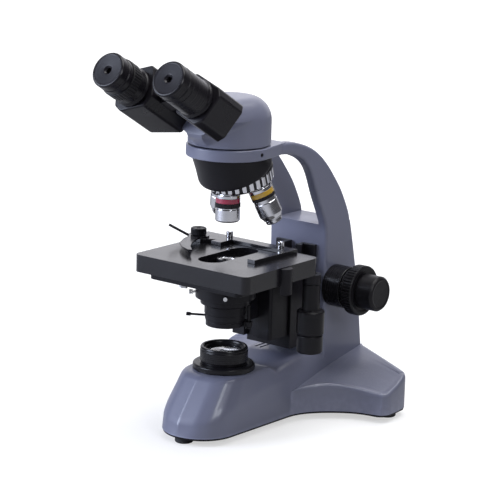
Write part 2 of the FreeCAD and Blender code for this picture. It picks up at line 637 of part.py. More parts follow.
def fine_knob(side):
    """Smooth knob fixed on the fine shaft's end."""
    profile = [(SHAFT_RADIUS, 68.5), (11.5, 68.5), (11.5, 72.4), (FINE_RADIUS, 72.4)]
    profile += [(FINE_RADIUS, 90), (FINE_RADIUS - 1.5, 92)]
    profile += [(0, 92), (0, 86.05), (SHAFT_RADIUS, 86.05)]
    return turned(profile, FOCUS_POINT, V(side, 0, 0))


# ---- stage ----
def stage_base_plate():
    """Fixed plate on the carrier; the moving plate slides front to back on it."""
    plate = rounded_box(-60, 50.5, -44, 62, CARRIER_TOP, LOWER_TOP, 6)
    slot = rounded_box(-26, 26, -36, 40, 140, 170, 12)
    return plate.cut(slot)


def stage_top_plate():
    """Moving plate with a deep rim and the long light slot."""
    plate = rounded_box(-STAGE_X, STAGE_X, -STAGE_Y, STAGE_Y, STAGE_TOP - STAGE_SKIRT, STAGE_TOP, 7)
    plate = plate.cut(box(-STAGE_X + 4, STAGE_X - 4, -STAGE_Y + 4, 100, 140, 163))
    runners = [box(x, x + 6, -40, 50, LOWER_TOP + GAP, 163.05) for x in (-50, 44)]
    for runner in runners:
        plate = plate.fuse(runner)
    slot = rounded_box(-13.5, 13.5, -35, 41, 150, 180, 13.4)
    plate = plate.cut(slot)
    return plate.removeSplitter()


def slide_holder():
    """Flat bent holder: rear bar, left plate with the finger's pivot, right jaw with a hook."""
    low = HOLDER_LOW + 0.05
    outline = [(-68, 56), (-68, 24), (-52, 24), (-40, 34), (-40, 26), (-28, 26), (-28, 43), (36, 43)]
    outline += [(36, 0), (33, -4), (33, -10), (42, -10), (43, 56)]
    return plan_slab(outline, low, HOLDER_HIGH)


def holder_screws():
    """Two bright knurled screws that fasten the holder to its carriage."""
    screws = []
    for x in (-36, 27):
        screws.append(knurled(3.3, 0, HOLDER_HIGH, HOLDER_HIGH + 6, 16, 0.35, V(x, 50, 0)))
    return screws


def spring_finger():
    """Curved sprung finger that presses the slide into the hook, with its raised lever."""
    low = HOLDER_HIGH + 0.2
    crescent = [(-64, 24), (-61, 10), (-52, -8), (-38, -20), (-27, -25), (-24, -23), (-35, -12)]
    crescent += [(-44, 2), (-50, 16), (-53, 27)]
    blade = plan_slab(crescent, low, low + 1.6)
    hub = disc(10.8, low, low + 1.6, FINGER_AT)
    rod = Part.makeCylinder(1.3, 22, V(-67, 24, low + 1.2), V(-13, -13, 10))
    body = blade.fuse(hub).fuse(rod)
    return body.cut(disc(3.0 + RUN_FIT, low - 5, low + 5, FINGER_AT)).removeSplitter()


def finger_knob():
    """Shouldered pivot stud with a knurled cap over the finger."""
    low = HOLDER_HIGH
    stud = disc(3.0, low, low + 2.1, FINGER_AT)
    cap = knurled(7.8, 0, low + 2.1, low + 9, 30, 0.5, FINGER_AT)
    return stud.fuse(cap).removeSplitter()


def stage_drive():
    """Bracket under the moving plate for the coaxial knobs, and the round boss on its right edge."""
    arm_plate = box(51, 64.4, 48, 56.5, LOWER_TOP + GAP, 163).cut(disc(5.2, 140, 170, DRIVE_AT))
    neck = disc(9.0, 146, 155, DRIVE_AT, bore=5.0 + RUN_FIT)
    boss = disc(7.0, 146.5, STAGE_TOP - 0.8, V(69, 2, 0)).cut(box(0, STAGE_X + 0.02, -20, 20, 140, 180))
    return [arm_plate.fuse(neck).removeSplitter(), boss]


def y_knob():
    """Upper stage knob on its hollow shaft."""
    shaft = disc(5.0, 118.9, 154.5, DRIVE_AT, bore=2.5 + RUN_FIT)
    collar = disc(8.6, 119, 145.5, DRIVE_AT, bore=4.9)
    grip = knurled(13.5, 4.9, 95.5, 119, 36, 0.5, DRIVE_AT)
    sleeve = disc(5.0, 95.5, 119, DRIVE_AT, bore=2.5 + RUN_FIT)
    return shaft.fuse(collar).fuse(grip).fuse(sleeve).removeSplitter()


def x_knob():
    """Lower stage knob on the inner shaft."""
    shaft = disc(2.5, 94.9, 158, DRIVE_AT)
    grip = knurled(12.7, 0, 77, 95, 36, 0.5, DRIVE_AT)
    return shaft.fuse(grip).removeSplitter()


# ---- condenser ----
def condenser_carrier():
    """Ring on a short arm that rides in the carrier's front groove."""
    ring = disc(29.0, 132, 144, bore=CONDENSER_RADIUS + 0.1)
    inside = disc(27, 90, 150)
    tongue = box(-8, 8, 28, 46, 104, 144).cut(disc(29.5, 90, 132.001)).cut(inside)
    hanger = box(-8, 8, 26.5, 34, 132, 144).cut(inside)
    return ring.fuse(tongue).fuse(hanger).removeSplitter()


def condenser_body():
    """Stepped black barrel held in the carrier's ring."""
    profile = [(9.0, 116), (20, 116), (20, 124), (CONDENSER_RADIUS, 126), (CONDENSER_RADIUS, 146)]
    profile += [(21, 147.5), (14, 152), (12.5, 161), (11.0, 161), (11.0, 126), (9.0, 124)]
    return [turned(profile), filter_pin()]


def condenser_lens():
    """Domed top lens of the condenser."""
    return turned([(0, 156), (10.9, 156), (10.9, 160), (7, 161.2), (0, 161.6)])


def condenser_screws():
    """Knurled clamp screw on the left and two centring screws at the front of the ring."""
    screws = []
    for degrees, length, head in ((197, 17, 3.0), (232, 9, 2.2), (308, 9, 2.2)):
        turn = math.radians(degrees)
        way = V(math.cos(turn), math.sin(turn), 0)
        at = way * 29.2 + V(0, 0, 138)
        stem = Part.makeCylinder(1.2, length - 6, at, way)
        cap = knurled(head, 0, 0, 7 if head > 2.5 else 3.5, 14, 0.3, at + way * (length - 6), way)
        screws.append(stem.fuse(cap))
    return screws


def iris_ring():
    """Ring under the barrel whose lever opens and closes the diaphragm."""
    ring = disc(19.5, 111.2, 115.7, bore=15.0)
    root = V(-13.5, -12.5, 113.5)
    outward = V(-1, -0.55, 0).normalize()
    lever = Part.makeCylinder(1.1, 16, root, outward).cut(disc(17, 100, 120))
    knob = Part.makeCylinder(1.8, 4, root + outward * 15, outward)
    return ring.fuse(lever).fuse(knob).removeSplitter()


def filter_holder():
    """Swing-out tray for a 32 mm filter, on a pin beside the barrel."""
    ring = disc(18.5, 105.5, 109, bore=16.0)
    floor = disc(18.5, 104.3, 105.5, bore=14.0)
    ear = disc(4.0, 104.3, 109, FILTER_AT).fuse(box(13, 21, 4, 12, 104.3, 109))
    ear = ear.cut(disc(16.5, 100, 110))
    return ring.fuse(floor).fuse(ear).cut(disc(1.5 + RUN_FIT, 100, 112, FILTER_AT)).removeSplitter()


def filter_pin():
    """Headed pin under the barrel that the filter tray swings on."""
    return disc(1.5, 103, 125, FILTER_AT).fuse(disc(2.6, 102, 103.8, FILTER_AT)).removeSplitter()


def condenser_knob():
    """Left-hand knob and pinion that raise and lower the condenser."""
    shaft = disc(3.0, 0, 44, CONDENSER_SHAFT, V(-1, 0, 0))
    grip = knurled(10.5, 0, 33, 45, 28, 0.5, CONDENSER_SHAFT, V(-1, 0, 0))
    return shaft.fuse(grip).removeSplitter()


PARTS = {
    "base_housing": base_housing, "base_plate": base_plate, "feet": feet, "base_screws": base_screws,
    "arm": arm, "head_lock_screw": head_lock_screw,
    "illuminator_flange": illuminator_flange, "field_ring": field_ring, "field_lens": field_lens,
    "lamp": lamp, "circuit_board": circuit_board, "power_inlet": power_inlet,
    "power_switch": power_switch, "brightness_dial": brightness_dial,
    "nosepiece_housing": nosepiece_housing, "turret_plate": turret_plate,
    "turret_grip_ring": turret_grip_ring, "colour_rings": colour_rings,
    "objective_lenses": objective_lenses,
    "head_housing": head_housing, "head_prism": head_prism, "hub_pin": hub_pin,
    "dioptre_ring": dioptre_ring,
    "focus_guide": focus_guide, "stage_carrier": stage_carrier, "focus_rack": focus_rack,
    "focus_collars": focus_collars, "tension_ring": tension_ring, "coarse_sleeve": coarse_sleeve,
    "fine_shaft": fine_shaft,
    "stage_base_plate": stage_base_plate, "stage_top_plate": stage_top_plate,
    "slide_holder": slide_holder, "holder_screws": holder_screws, "spring_finger": spring_finger,
    "finger_knob": finger_knob, "stage_drive": stage_drive, "y_knob": y_knob, "x_knob": x_knob,
    "condenser_carrier": condenser_carrier, "condenser_body": condenser_body,
    "condenser_lens": condenser_lens, "condenser_screws": condenser_screws, "iris_ring": iris_ring,
    "filter_holder": filter_holder, "condenser_knob": condenser_knob,
}
SIDED = {"tube_arm": tube_arm, "eye_tube": eye_tube, "eyepiece": eyepiece, "coarse_knob": coarse_knob,
         "fine_knob": fine_knob}


def save(name, made):
    """Move a part to the footprint's middle and write it."""
    shape = Part.makeCompound(made) if isinstance(made, list) else made
    moved = shape.translated(V(0, -Y_MID, 0))
    moved.exportStep(os.path.join("parts", name + ".step"))
    solids = moved.Solids
    state = "ok" if solids and all(s.isValid() and s.isClosed() for s in solids) else "BAD"
    print(f"{name}: {len(solids)} solid(s), {sum(s.Volume for s in solids):.0f} mm3, {state}")


os.makedirs("parts", exist_ok=True)
for node, maker in PARTS.items():
    save(node, maker())
for node in OBJECTIVES:
    save(node, objective(node))
for node, maker in SIDED.items():
    for label, side in (("left", -1), ("right", 1)):
        save(node + "_" + label, maker(side))
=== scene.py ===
import math

import bmesh
import bpy
import numpy as np
from mathutils import Matrix, Vector
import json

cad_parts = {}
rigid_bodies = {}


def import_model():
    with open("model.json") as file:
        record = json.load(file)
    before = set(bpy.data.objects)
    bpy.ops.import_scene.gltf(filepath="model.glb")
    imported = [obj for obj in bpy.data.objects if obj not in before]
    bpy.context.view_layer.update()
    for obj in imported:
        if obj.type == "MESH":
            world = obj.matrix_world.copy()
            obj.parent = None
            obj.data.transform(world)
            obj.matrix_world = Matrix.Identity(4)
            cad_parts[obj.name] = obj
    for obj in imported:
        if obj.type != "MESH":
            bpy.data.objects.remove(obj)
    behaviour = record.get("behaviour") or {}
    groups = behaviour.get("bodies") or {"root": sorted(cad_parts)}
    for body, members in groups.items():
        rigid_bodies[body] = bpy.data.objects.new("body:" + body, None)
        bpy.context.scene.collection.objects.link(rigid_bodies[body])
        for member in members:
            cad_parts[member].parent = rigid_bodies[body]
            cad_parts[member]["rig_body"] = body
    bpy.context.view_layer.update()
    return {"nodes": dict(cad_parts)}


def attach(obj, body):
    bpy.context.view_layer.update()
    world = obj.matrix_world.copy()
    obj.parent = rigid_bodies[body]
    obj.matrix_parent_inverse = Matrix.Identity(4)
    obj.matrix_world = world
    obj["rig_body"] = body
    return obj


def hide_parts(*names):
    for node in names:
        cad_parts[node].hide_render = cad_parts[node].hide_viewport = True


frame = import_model()


# ---- Base casting ----
# One hollow aluminium die casting: a round-nosed toe under the illuminator, a raised spine and
# two swept wings. It is stove enamelled a satin slate blue and screwed to its cover from below.
MM = 0.001
Y_MID = 22.0                # the optical axis stands this far in front of the footprint's middle
WELD = 2e-6
SHARP = math.radians(34)
BASE_LOW = 8.0
BASE_WALL = 3.0


def flow(keys, count, window):
    """Key rows joined by straight runs, sampled evenly along them, then averaged over a short window.
    Row k of the result is mean(K(s_j)) for j within the window of k, with both ends held."""
    keys = np.asarray(keys, float)
    step = np.linalg.norm(np.diff(keys[:, :3], axis=0), axis=1) + 1e-6
    run = np.concatenate([[0], np.cumsum(step)])
    at = np.linspace(0, run[-1], count)
    rows = np.stack([np.interp(at, run, keys[:, c]) for c in range(keys.shape[1])], 1)
    padded = np.concatenate([2 * rows[:1] - rows[window:0:-1], rows, 2 * rows[-1:] - rows[-2:-window - 2:-1]])
    shifted = [padded[k:k + count] for k in range(2 * window + 1)]
    return np.mean(shifted, axis=0)


def eased(corners, radii, steps=6):
    """Polylines (..., n, 3) with their inner corners eased. Corner P becomes the curve
    (1-s)^2 A + 2 s (1-s) P + s^2 B, where A and B lie the radius back and on from P along its runs."""
    corners = np.asarray(corners, float)
    inner = corners[..., 1:-1, :]
    back, on = corners[..., :-2, :] - inner, corners[..., 2:, :] - inner
    back_long = np.linalg.norm(back, axis=-1, keepdims=True) + 1e-9
    on_long = np.linalg.norm(on, axis=-1, keepdims=True) + 1e-9
    radii = np.broadcast_to(np.asarray(radii, float), inner.shape[:-1])[..., None]
    start = inner + back / back_long * np.minimum(radii, back_long * 0.49)
    end = inner + on / on_long * np.minimum(radii, on_long * 0.49)
    s = np.linspace(0, 1, steps)[:, None]
    start, bend, end = start[..., None, :], inner[..., None, :], end[..., None, :]
    arc = (1 - s) ** 2 * start + 2 * s * (1 - s) * bend + s ** 2 * end
    arc = arc.reshape(corners.shape[:-2] + (-1, 3))
    return np.concatenate([corners[..., :1, :], arc, corners[..., -1:, :]], axis=-2)


def weld(name, grids, mirror=False, local=None, sharp=SHARP):
    """One mesh from grids of points in millimetres about the optical axis. Face (i, j) of a grid
    joins its points (i, j), (i, j+1), (i+1, j+1) and (i+1, j). Points that meet are merged."""
    if mirror:
        grids = list(grids) + [grid * [-1, 1, 1] for grid in grids]
    places, faces, start = [], [], 0
    for grid in grids:
        rows, columns = grid.shape[:2]
        index = start + np.arange(rows * columns).reshape(rows, columns)
        quad = np.stack([index[:-1, :-1], index[:-1, 1:], index[1:, 1:], index[1:, :-1]], -1)
        faces.append(quad.reshape(-1, 4))
        places.append(grid.reshape(-1, 3))
        start += rows * columns
    mesh = bpy.data.meshes.new(name)
    points = (np.concatenate(places) - [0, Y_MID, 0]) * MM
    mesh.from_pydata(points.tolist(), [], np.concatenate(faces).tolist())
    if local is not None:
        spun = mesh.attributes.new("lathe", "FLOAT_VECTOR", "POINT")
        spun.data.foreach_set("vector", np.concatenate([g.reshape(-1, 3) for g in local]).ravel())
    work = bmesh.new()
    work.from_mesh(mesh)
    bmesh.ops.remove_doubles(work, verts=work.verts, dist=WELD)
    bmesh.ops.dissolve_degenerate(work, dist=WELD, edges=work.edges)
    bmesh.ops.recalc_face_normals(work, faces=work.faces)
    work.to_mesh(mesh)
    work.free()
    mesh.shade_smooth()
    mesh.set_sharp_from_angle(angle=sharp)
    piece = bpy.data.objects.new(name, mesh)
    bpy.context.scene.collection.objects.link(piece)
    return piece


def settle(piece, changes=()):
    """Applies modifiers given as (kind, settings), so that the piece's mesh is its final one."""
    for kind, settings in changes:
        change = piece.modifiers.new(kind, kind)
        for key, value in settings.items():
            setattr(change, key, value)
    bpy.context.view_layer.update()
    final = bpy.data.meshes.new_from_object(piece.evaluated_get(bpy.context.evaluated_depsgraph_get()))
    piece.modifiers.clear()
    piece.data = final
    return piece


def bevelled(width, steps=2, angle=40):
    """Bevel setting for settle: edges sharper than the angle rounded by a width in millimetres."""
    return ("BEVEL", {"width": width * MM, "segments": steps, "limit_method": "ANGLE",
                      "angle_limit": math.radians(angle), "harden_normals": False})


def fit(piece, body, finish, nodes=()):
    """Rides the piece on its body, gives it its finish, and stands it for its CAD nodes."""
    piece.data.materials.clear()
    piece.data.materials.append(finish)
    weigh = piece.modifiers.new("even_shading", "WEIGHTED_NORMAL")
    weigh.keep_sharp = True
    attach(piece, body)
    if nodes:
        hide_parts(*nodes)
    return piece


def group(name, inputs, outputs):
    """Empty node group with its sockets; returns it with its input and output nodes."""
    tree = bpy.data.node_groups.new(name, "ShaderNodeTree")
    for kind, title, value in inputs:
        socket = tree.interface.new_socket(title, in_out="INPUT", socket_type=kind)
        if value is not None:
            socket.default_value = value
    for kind, title in outputs:
        tree.interface.new_socket(title, in_out="OUTPUT", socket_type=kind)
    return tree, tree.nodes.new("NodeGroupInput"), tree.nodes.new("NodeGroupOutput")


def node(tree, kind, links=(), **settings):
    """A shader node with its settings; links are (input name or number, output socket or value)."""
    made = tree.nodes.new(kind)
    for key, value in settings.items():
        setattr(made, key, value)
    for where, what in links:
        if isinstance(what, bpy.types.NodeSocket):
            tree.links.new(what, made.inputs[where])
        else:
            made.inputs[where].default_value = what
    return made


def sum_of(tree, operation, *terms):
    """Socket of one arithmetic step on sockets or numbers."""
    return node(tree, "ShaderNodeMath", list(enumerate(terms)), operation=operation).outputs[0]


def noise(tree, where, scale, detail, *more):
    """Socket of noise at a scale, by position."""
    links = [("Vector", where), ("Scale", scale), ("Detail", detail), *more]
    return node(tree, "ShaderNodeTexNoise", links).outputs["Fac"]


def ranged(tree, value, start, stop, low=0.0, high=1.0, **settings):
    """Socket of a value carried from the run start..stop to the run low..high, and held at its ends."""
    links = [("Value", value), ("From Min", start), ("From Max", stop), ("To Min", low), ("To Max", high)]
    return node(tree, "ShaderNodeMapRange", links, **settings).outputs["Result"]


def mixed(tree, share, first, second):
    """Colour socket (1 - share) * first + share * second; each is a socket or three numbers."""
    ends = [end if isinstance(end, bpy.types.NodeSocket) else (*end, 1) for end in (first, second)]
    return node(tree, "ShaderNodeMix", [(0, share), (6, ends[0]), (7, ends[1])], data_type="RGBA").outputs[2]


def grain_group():
    """Fine texture of a coat or a moulding: Height is noise at the grain's scale with finer noise on
    it, Mottle is slow noise about a half."""
    tree, given, out = group("surface_grain", [
        ("NodeSocketVector", "Vector", None), ("NodeSocketFloat", "Grain", 900.0),
        ("NodeSocketFloat", "Patch", 40.0)], [("NodeSocketFloat", "Height"), ("NodeSocketFloat", "Mottle")])
    where = given.outputs["Vector"]
    tree.links.new(noise(tree, where, given.outputs["Grain"], 3.0), out.inputs["Height"])
    tree.links.new(noise(tree, where, given.outputs["Patch"], 4.0), out.inputs["Mottle"])
    return tree


def edge_highlight_group():
    """Mask of a painted edge highlight: the surface's pointiness past a threshold, broken up by noise."""
    tree, given, out = group("painted_edge_highlight", [
        ("NodeSocketVector", "Vector", None), ("NodeSocketFloat", "From", 0.52),
        ("NodeSocketFloat", "To", 0.6)], [("NodeSocketFloat", "Mask")])
    pointed = node(tree, "ShaderNodeNewGeometry").outputs["Pointiness"]
    edge = ranged(tree, pointed, given.outputs["From"], given.outputs["To"])
    patchy = noise(tree, given.outputs["Vector"], 180.0, 5.0)
    tree.links.new(sum_of(tree, "MULTIPLY", edge, patchy), out.inputs["Mask"])
    return tree


def dust_group():
    """Mask of settled dust: how far the surface faces up, to the fourth power, times speckled noise."""
    tree, given, out = group("settled_dust", [("NodeSocketVector", "Vector", None)],
                             [("NodeSocketFloat", "Mask")])
    facing = node(tree, "ShaderNodeNewGeometry").outputs["Normal"]
    rise = node(tree, "ShaderNodeSeparateXYZ", [("Vector", facing)]).outputs["Z"]
    level = sum_of(tree, "POWER", sum_of(tree, "MAXIMUM", rise, 0.0), 4.0)
    speck = noise(tree, given.outputs["Vector"], 420.0, 6.0, ("Roughness", 0.7))
    both = sum_of(tree, "MULTIPLY", level, ranged(tree, speck, 0.45, 0.75))
    tree.links.new(both, out.inputs["Mask"])
    return tree


GRAIN, EDGE_HIGHLIGHT, DUST = grain_group(), edge_highlight_group(), dust_group()


def effect(tree, which, links):
    """One of the shared effects, placed in a material."""
    return node(tree, "ShaderNodeGroup", links, node_tree=which)


def blank_finish(name, numbers):
    """New material with plain numbers on its shader; returns it, its shader and its position socket."""
    made = bpy.data.materials.new(name)
    made.use_nodes = True
    shader = made.node_tree.nodes["Principled BSDF"]
    for socket, value in numbers:
        shader.inputs[socket].default_value = value
    return made, shader, node(made.node_tree, "ShaderNodeTexCoord").outputs["Object"]


def highlight_colour(colour, times):
    """The colour of a painted edge highlight."""
    return [min(1.0, part * times + 0.01) for part in colour]


def skinned(tree, shader, colour, rough, height, bump, depth):
    """Joins colour, roughness and a bump of a depth in metres to the shader."""
    raised = node(tree, "ShaderNodeBump", [("Height", height), ("Strength", bump), ("Distance", depth)])
    for socket, what in (("Base Color", colour), ("Roughness", rough), ("Normal", raised.outputs["Normal"])):
        tree.links.new(what, shader.inputs[socket])


DUST_GREY = (0.42, 0.42, 0.43)


def coating(name, colour, second, roughness, grain, bump, numbers=(), patch=40.0, dust=0.10):
    """Paint, lacquer or moulded plastic: two close colours mottled together, grain in its bump,
    convex edges painted towards a lighter colour as a painted highlight, and a trace of dust on what faces
    up."""
    made, shader, where = blank_finish(name, numbers)
    tree = made.node_tree
    skin = effect(tree, GRAIN, [("Vector", where), ("Grain", grain), ("Patch", patch)])
    mottle = skin.outputs["Mottle"]
    lit_edge = effect(tree, EDGE_HIGHLIGHT, [("Vector", where)]).outputs["Mask"]
    # convex edges painted lighter: a painted highlight, broken up by noise
    highlighted = mixed(tree, lit_edge, mixed(tree, mottle, colour, second), highlight_colour(colour, 1.8))
    thin = sum_of(tree, "MULTIPLY", effect(tree, DUST, [("Vector", where)]).outputs["Mask"], dust)
    rough = ranged(tree, mottle, 0.3, 0.7, roughness * 0.88, roughness * 1.12)
    skinned(tree, shader, mixed(tree, thin, highlighted, DUST_GREY), sum_of(tree, "MULTIPLY_ADD", thin, 0.6, rough),
            skin.outputs["Height"], bump, 0.0002)
    return made


SLATE_ENAMEL = coating("slate_enamel", (0.132, 0.139, 0.196), (0.145, 0.152, 0.214), 0.38, 700.0, 0.10,
                       numbers=[("Coat Weight", 0.30), ("Coat Roughness", 0.14), ("IOR", 1.45)])

# spine stations, front to rear: wall foot, ridge, plateau edge, middle; each x, y, z
SPINE = [
    (0, -69.2, 15, 0, -68, 22, 0, -38, 61, 0, -24.5, 61),
    (18.5, -64.4, 15.5, 18.2, -63.4, 23, 18, -35.5, 61, 11, -21.9, 61),
    (28.4, -56.5, 17, 28.0, -55.8, 25, 26.8, -29.5, 61, 17.5, -17.1, 61),
    (35.0, -44.8, 19.5, 34.8, -44, 29, 31.6, -20, 61, 22.5, -9.7, 61),
    (37.5, -30, 22, 37.4, -29, 33, 33.4, -9, 61, 24.4, -2, 61),
    (38.2, -9, 25, 38.0, -9, 37, 33.4, 3, 61, 24.2, 4, 61),
    (38.9, 12, 27.5, 38.0, 12, 43, 33, 15, 61, 20, 14.1, 61),
    (39.5, 29, 29.3, 37.5, 29, 45.1, 32.4, 29, 61, 6, 23.8, 61),
    (39.7, 33, 29.8, 37.4, 33, 45.6, 32.3, 33, 61, 0, 32, 61),
    (40.1, 43, 30.9, 37.1, 43, 46.6, 32.1, 43, 55, 0, 43, 55),
    (40.4, 57, 32, 36.7, 57, 48, 32, 57, 57.6, 0, 57, 57.6),
    (38.7, 77, 35.0, 36.2, 77, 50, 32, 77, 61, 0, 77, 61),
    (37.3, 97, 38.6, 35.6, 97, 52, 31.6, 97, 61, 0, 97, 61),
    (35.9, 117, 42.2, 35.05, 117, 54, 31.4, 117, 61, 0, 117, 61),
    (35.4, 124, 43.5, 34.9, 124, 52, 31.2, 123, 53, 0, 123, 53),
    (35.3, 150, 48.1, 34.8, 150, 52, 31, 148, 53, 0, 148, 53),
    (35.2, 170, 51.6, 34.8, 169, 53, 31, 165, 53, 0, 165, 53),
    (35.1, 183, 54, 34.7, 181, 54, 31, 178, 53, 0, 178, 53),
]
SPINE_ROWS = 150
WING_START_Y = 57.0         # here the wing leaves the spine's wall
NOSE_CENTRE = -32.5
NOSE_RADIUS = 37.5
FLARE_START, FLARE_WIDTH, FLARE_LENGTH = -32, 3, 87     # the foot line widens behind the nose
spine = flow(SPINE, SPINE_ROWS, 2).reshape(SPINE_ROWS, 4, 3)
spine[0, :, 0] = 0
ridge_ease = np.interp(spine[:, 1, 1], [-68, -50, -20, 5, 30, 190], [5, 12, 10, 4, 3, 3])
edge_ease = np.interp(spine[:, 1, 1], [-68, -40, 0, 190], [6, 6, 5, 4])
upper = eased(spine, np.stack([ridge_ease, edge_ease], 1), 8)
split = int(np.argmin(abs(spine[:, 0, 1] - WING_START_Y)))
toe = spine[:split + 1, 0]
on_nose = toe[:, 1] < NOSE_CENTRE
turn = np.arctan2(toe[:, 0], NOSE_CENTRE - toe[:, 1])
flare = (toe[:, 1] - FLARE_START) * FLARE_WIDTH / FLARE_LENGTH
foot_x = np.where(on_nose, NOSE_RADIUS * np.sin(turn), NOSE_RADIUS + flare)
foot_y = np.where(on_nose, NOSE_CENTRE - NOSE_RADIUS * np.cos(turn), toe[:, 1])
foot = np.stack([foot_x, foot_y, np.full(split + 1, BASE_LOW)], 1)
lower = foot[:, None] + (toe - foot)[:, None] * np.linspace(0, 1, 6)[None, :, None]

# wing rim, from the spine's wall round the tip to the middle of the back; x, y and rim height
FLANK = [(40.4, 57, 32), (42.8, 67, 33.4), (47, 76, 35), (53, 84.8, 36.4), (60, 92, 36.8),
         (69.5, 100.5, 35.4), (80, 107, 33.4), (90.5, 111, 31.6), (101, 113.2, 30.2), (108, 116, 29.8)]
TIP = [(108, 116, 29.8), (111.2, 120.5, 30), (112, 126, 31.4), (111.2, 140, 36), (110, 150, 40.5),
       (108.6, 155.5, 42.4), (105, 159.2, 43.6)]
TAIL = [(105, 159.2, 43.6), (98, 162, 44.8), (76, 169.3, 48.2), (54, 176.7, 51.4), (36, 182.9, 53.8)]
REAR = [(36, 182.9, 53.8), (33, 183.8, 51), (28, 184.5, 50), (16, 185.5, 50), (0, 186, 50)]
ACROSS, ALONG = 40, SPINE_ROWS - split
flank, tip = flow(FLANK, ACROSS, 2), flow(TIP, ALONG, 2)
tail, rear = flow(TAIL, ACROSS, 1), flow(REAR, 14, 1)
tail[0], flank[-1], rear[0] = tip[-1], tip[0], tail[-1]
flank[0] = toe[-1]
rim = np.concatenate([flank, tip[1:], tail[1:], rear[1:]])
way = np.gradient(rim[:, :2], axis=0)
way /= np.linalg.norm(way, axis=1, keepdims=True)
inward = np.stack([-way[:, 1], way[:, 0]], 1)
inward[-1] = (0, -1)
count = len(rim)
deep_at = [0, 8, ACROSS + ALONG, ACROSS * 2 + ALONG - 4, count - 1]
deep = np.interp(np.arange(count), deep_at, [0.2, 6, 6, 5, 5])
inset = rim.copy()
inset[:, :2] += inward * deep[:, None]
inset[0] = flank[0]
bottom = rim.copy()
bottom[:, 2] = BASE_LOW
front, side = inset[:ACROSS], inset[ACROSS - 1:ACROSS + ALONG - 1]
back = inset[ACROSS + ALONG - 2:2 * ACROSS + ALONG - 2][::-1]
crease = spine[split:, 0].copy()
back[0] = crease[-1]
inset[2 * ACROSS + ALONG - 3] = crease[-1]
strip = eased(np.stack([bottom, rim, inset], 1), deep[:, None] * 0.9, 8)
# the wing's top fills its four edges: each pair blended across, less the corners' own blend
u = np.linspace(0, 1, ALONG)[:, None, None]
v = np.linspace(0, 1, ACROSS)[None, :, None]
wing = (1 - u) * front[None] + u * back[None] + (1 - v) * crease[:, None] + v * side[:, None]
wing -= (1 - u) * (1 - v) * front[0] + (1 - u) * v * front[-1] + u * (1 - v) * back[0] + u * v * back[-1]
WING_CROWN = 1.2
wing[..., 2] += (WING_CROWN * np.sin(math.pi * u) * np.sin(math.pi * v))[..., 0]

base = weld("base_housing_cast", [upper, lower, strip, wing], mirror=True)
settle(base, [("SOLIDIFY", {"thickness": BASE_WALL * MM, "offset": -1.0})])


def block(x0, x1, y0, y1, z0, z1):
    """Cutting block between two corners in millimetres, as three folded grids."""
    ring = np.array([(x0, y0), (x1, y0), (x1, y1), (x0, y1), (x0, y0)], float)
    middle = np.array([(x0 + x1) / 2, (y0 + y1) / 2])
    rows = [(ring * 0 + middle, z0), (ring, z0), (ring, z1), (ring * 0 + middle, z1)]
    grid = np.stack([np.concatenate([plan, np.full((5, 1), z)], 1) for plan, z in rows])
    return weld("cutter", [grid])


def tunnel(x0, x1, y, z, radius, sides=48):
    """Cutting cylinder across X, its ends closed to their middles."""
    turn = np.linspace(0, 2 * math.pi, sides + 1)
    rings = [(x0, 0.0), (x0, radius), (x1, radius), (x1, 0.0)]
    rows = [np.stack([turn * 0 + x, y + r * np.cos(turn), z + r * np.sin(turn)], 1) for x, r in rings]
    return weld("cutter", [np.stack(rows)])


def cut(piece, cutters):
    """Takes the cutters' space out of the piece and removes the cutters."""
    for cutter in cutters:
        settle(piece, [("BOOLEAN", {"operation": "DIFFERENCE", "object": cutter, "solver": "EXACT"})])
        bpy.data.objects.remove(cutter)
    piece.data.shade_smooth()
    piece.data.set_sharp_from_angle(angle=SHARP)
    return piece


# openings in the casting, each x from and to, y from and to, z from and to
VENTS = [(x, x + 2.5, 80, 104, 50, 70) for x in (-31, -25, -19)]
INLET_OPENING = (-14.2, 14.2, 170, 200, 17.8, 38.2)
SWITCH_OPENING = (50.8, 65.2, 160, 190, 18.8, 31.2)
DIAL_BORE = (-50, -30, 20, 27, 9.5)         # x from and to, y, z, radius
cut(base, [block(*opening) for opening in VENTS + [INLET_OPENING, SWITCH_OPENING]] + [tunnel(*DIAL_BORE)])
fit(base, "stand", SLATE_ENAMEL, ["base_housing"])


# ---- Cover and feet ----
# A pressed steel cover, black enamelled, closes the base from below. Three turned rubber feet
# push into it, one under the toe and one under each wing.
AXIS_Z = np.array([0.0, 0.0, 1.0])


def lathe(name, profile, ease, at=(0, 0, 0), axis=AXIS_Z, turns=96, flutes=None, steps=4):
    """Profile of (radius, height) corners, eased, carried round an axis: the point at height z and
    angle t is at + z a + r(z) (cos t e1 + sin t e2), with r less depth * max(0, cos(n t))^p in a grip."""
    flat = np.array([(r, 0.0, z) for r, z in profile], float)
    line = eased(flat, ease, steps)
    radius, height = line[:, 0], line[:, 2]
    angle = np.linspace(0, 2 * math.pi, turns + 1)
    spread = np.repeat(radius[:, None], turns + 1, 1)
    for low, high, number, depth, power in flutes or ():
        held = ((height > low) & (height < high) & (radius > radius.max() * 0.8))[:, None]
        spread = spread - held * depth * np.maximum(0, np.cos(number * angle))[None] ** power
    axis = np.asarray(axis, float) / np.linalg.norm(axis)
    lean = np.array([1.0, 0, 0]) if abs(axis[0]) < 0.9 else np.array([0, 1.0, 0])
    first = np.cross(lean, axis)
    first /= np.linalg.norm(first)
    second = np.cross(axis, first)
    x, y = spread * np.cos(angle), spread * np.sin(angle)
    z = np.repeat(height[:, None], turns + 1, 1)
    world = np.asarray(at, float) + x[..., None] * first + y[..., None] * second + z[..., None] * axis
    return weld(name, [world], local=[np.stack([x, y, z], -1)])


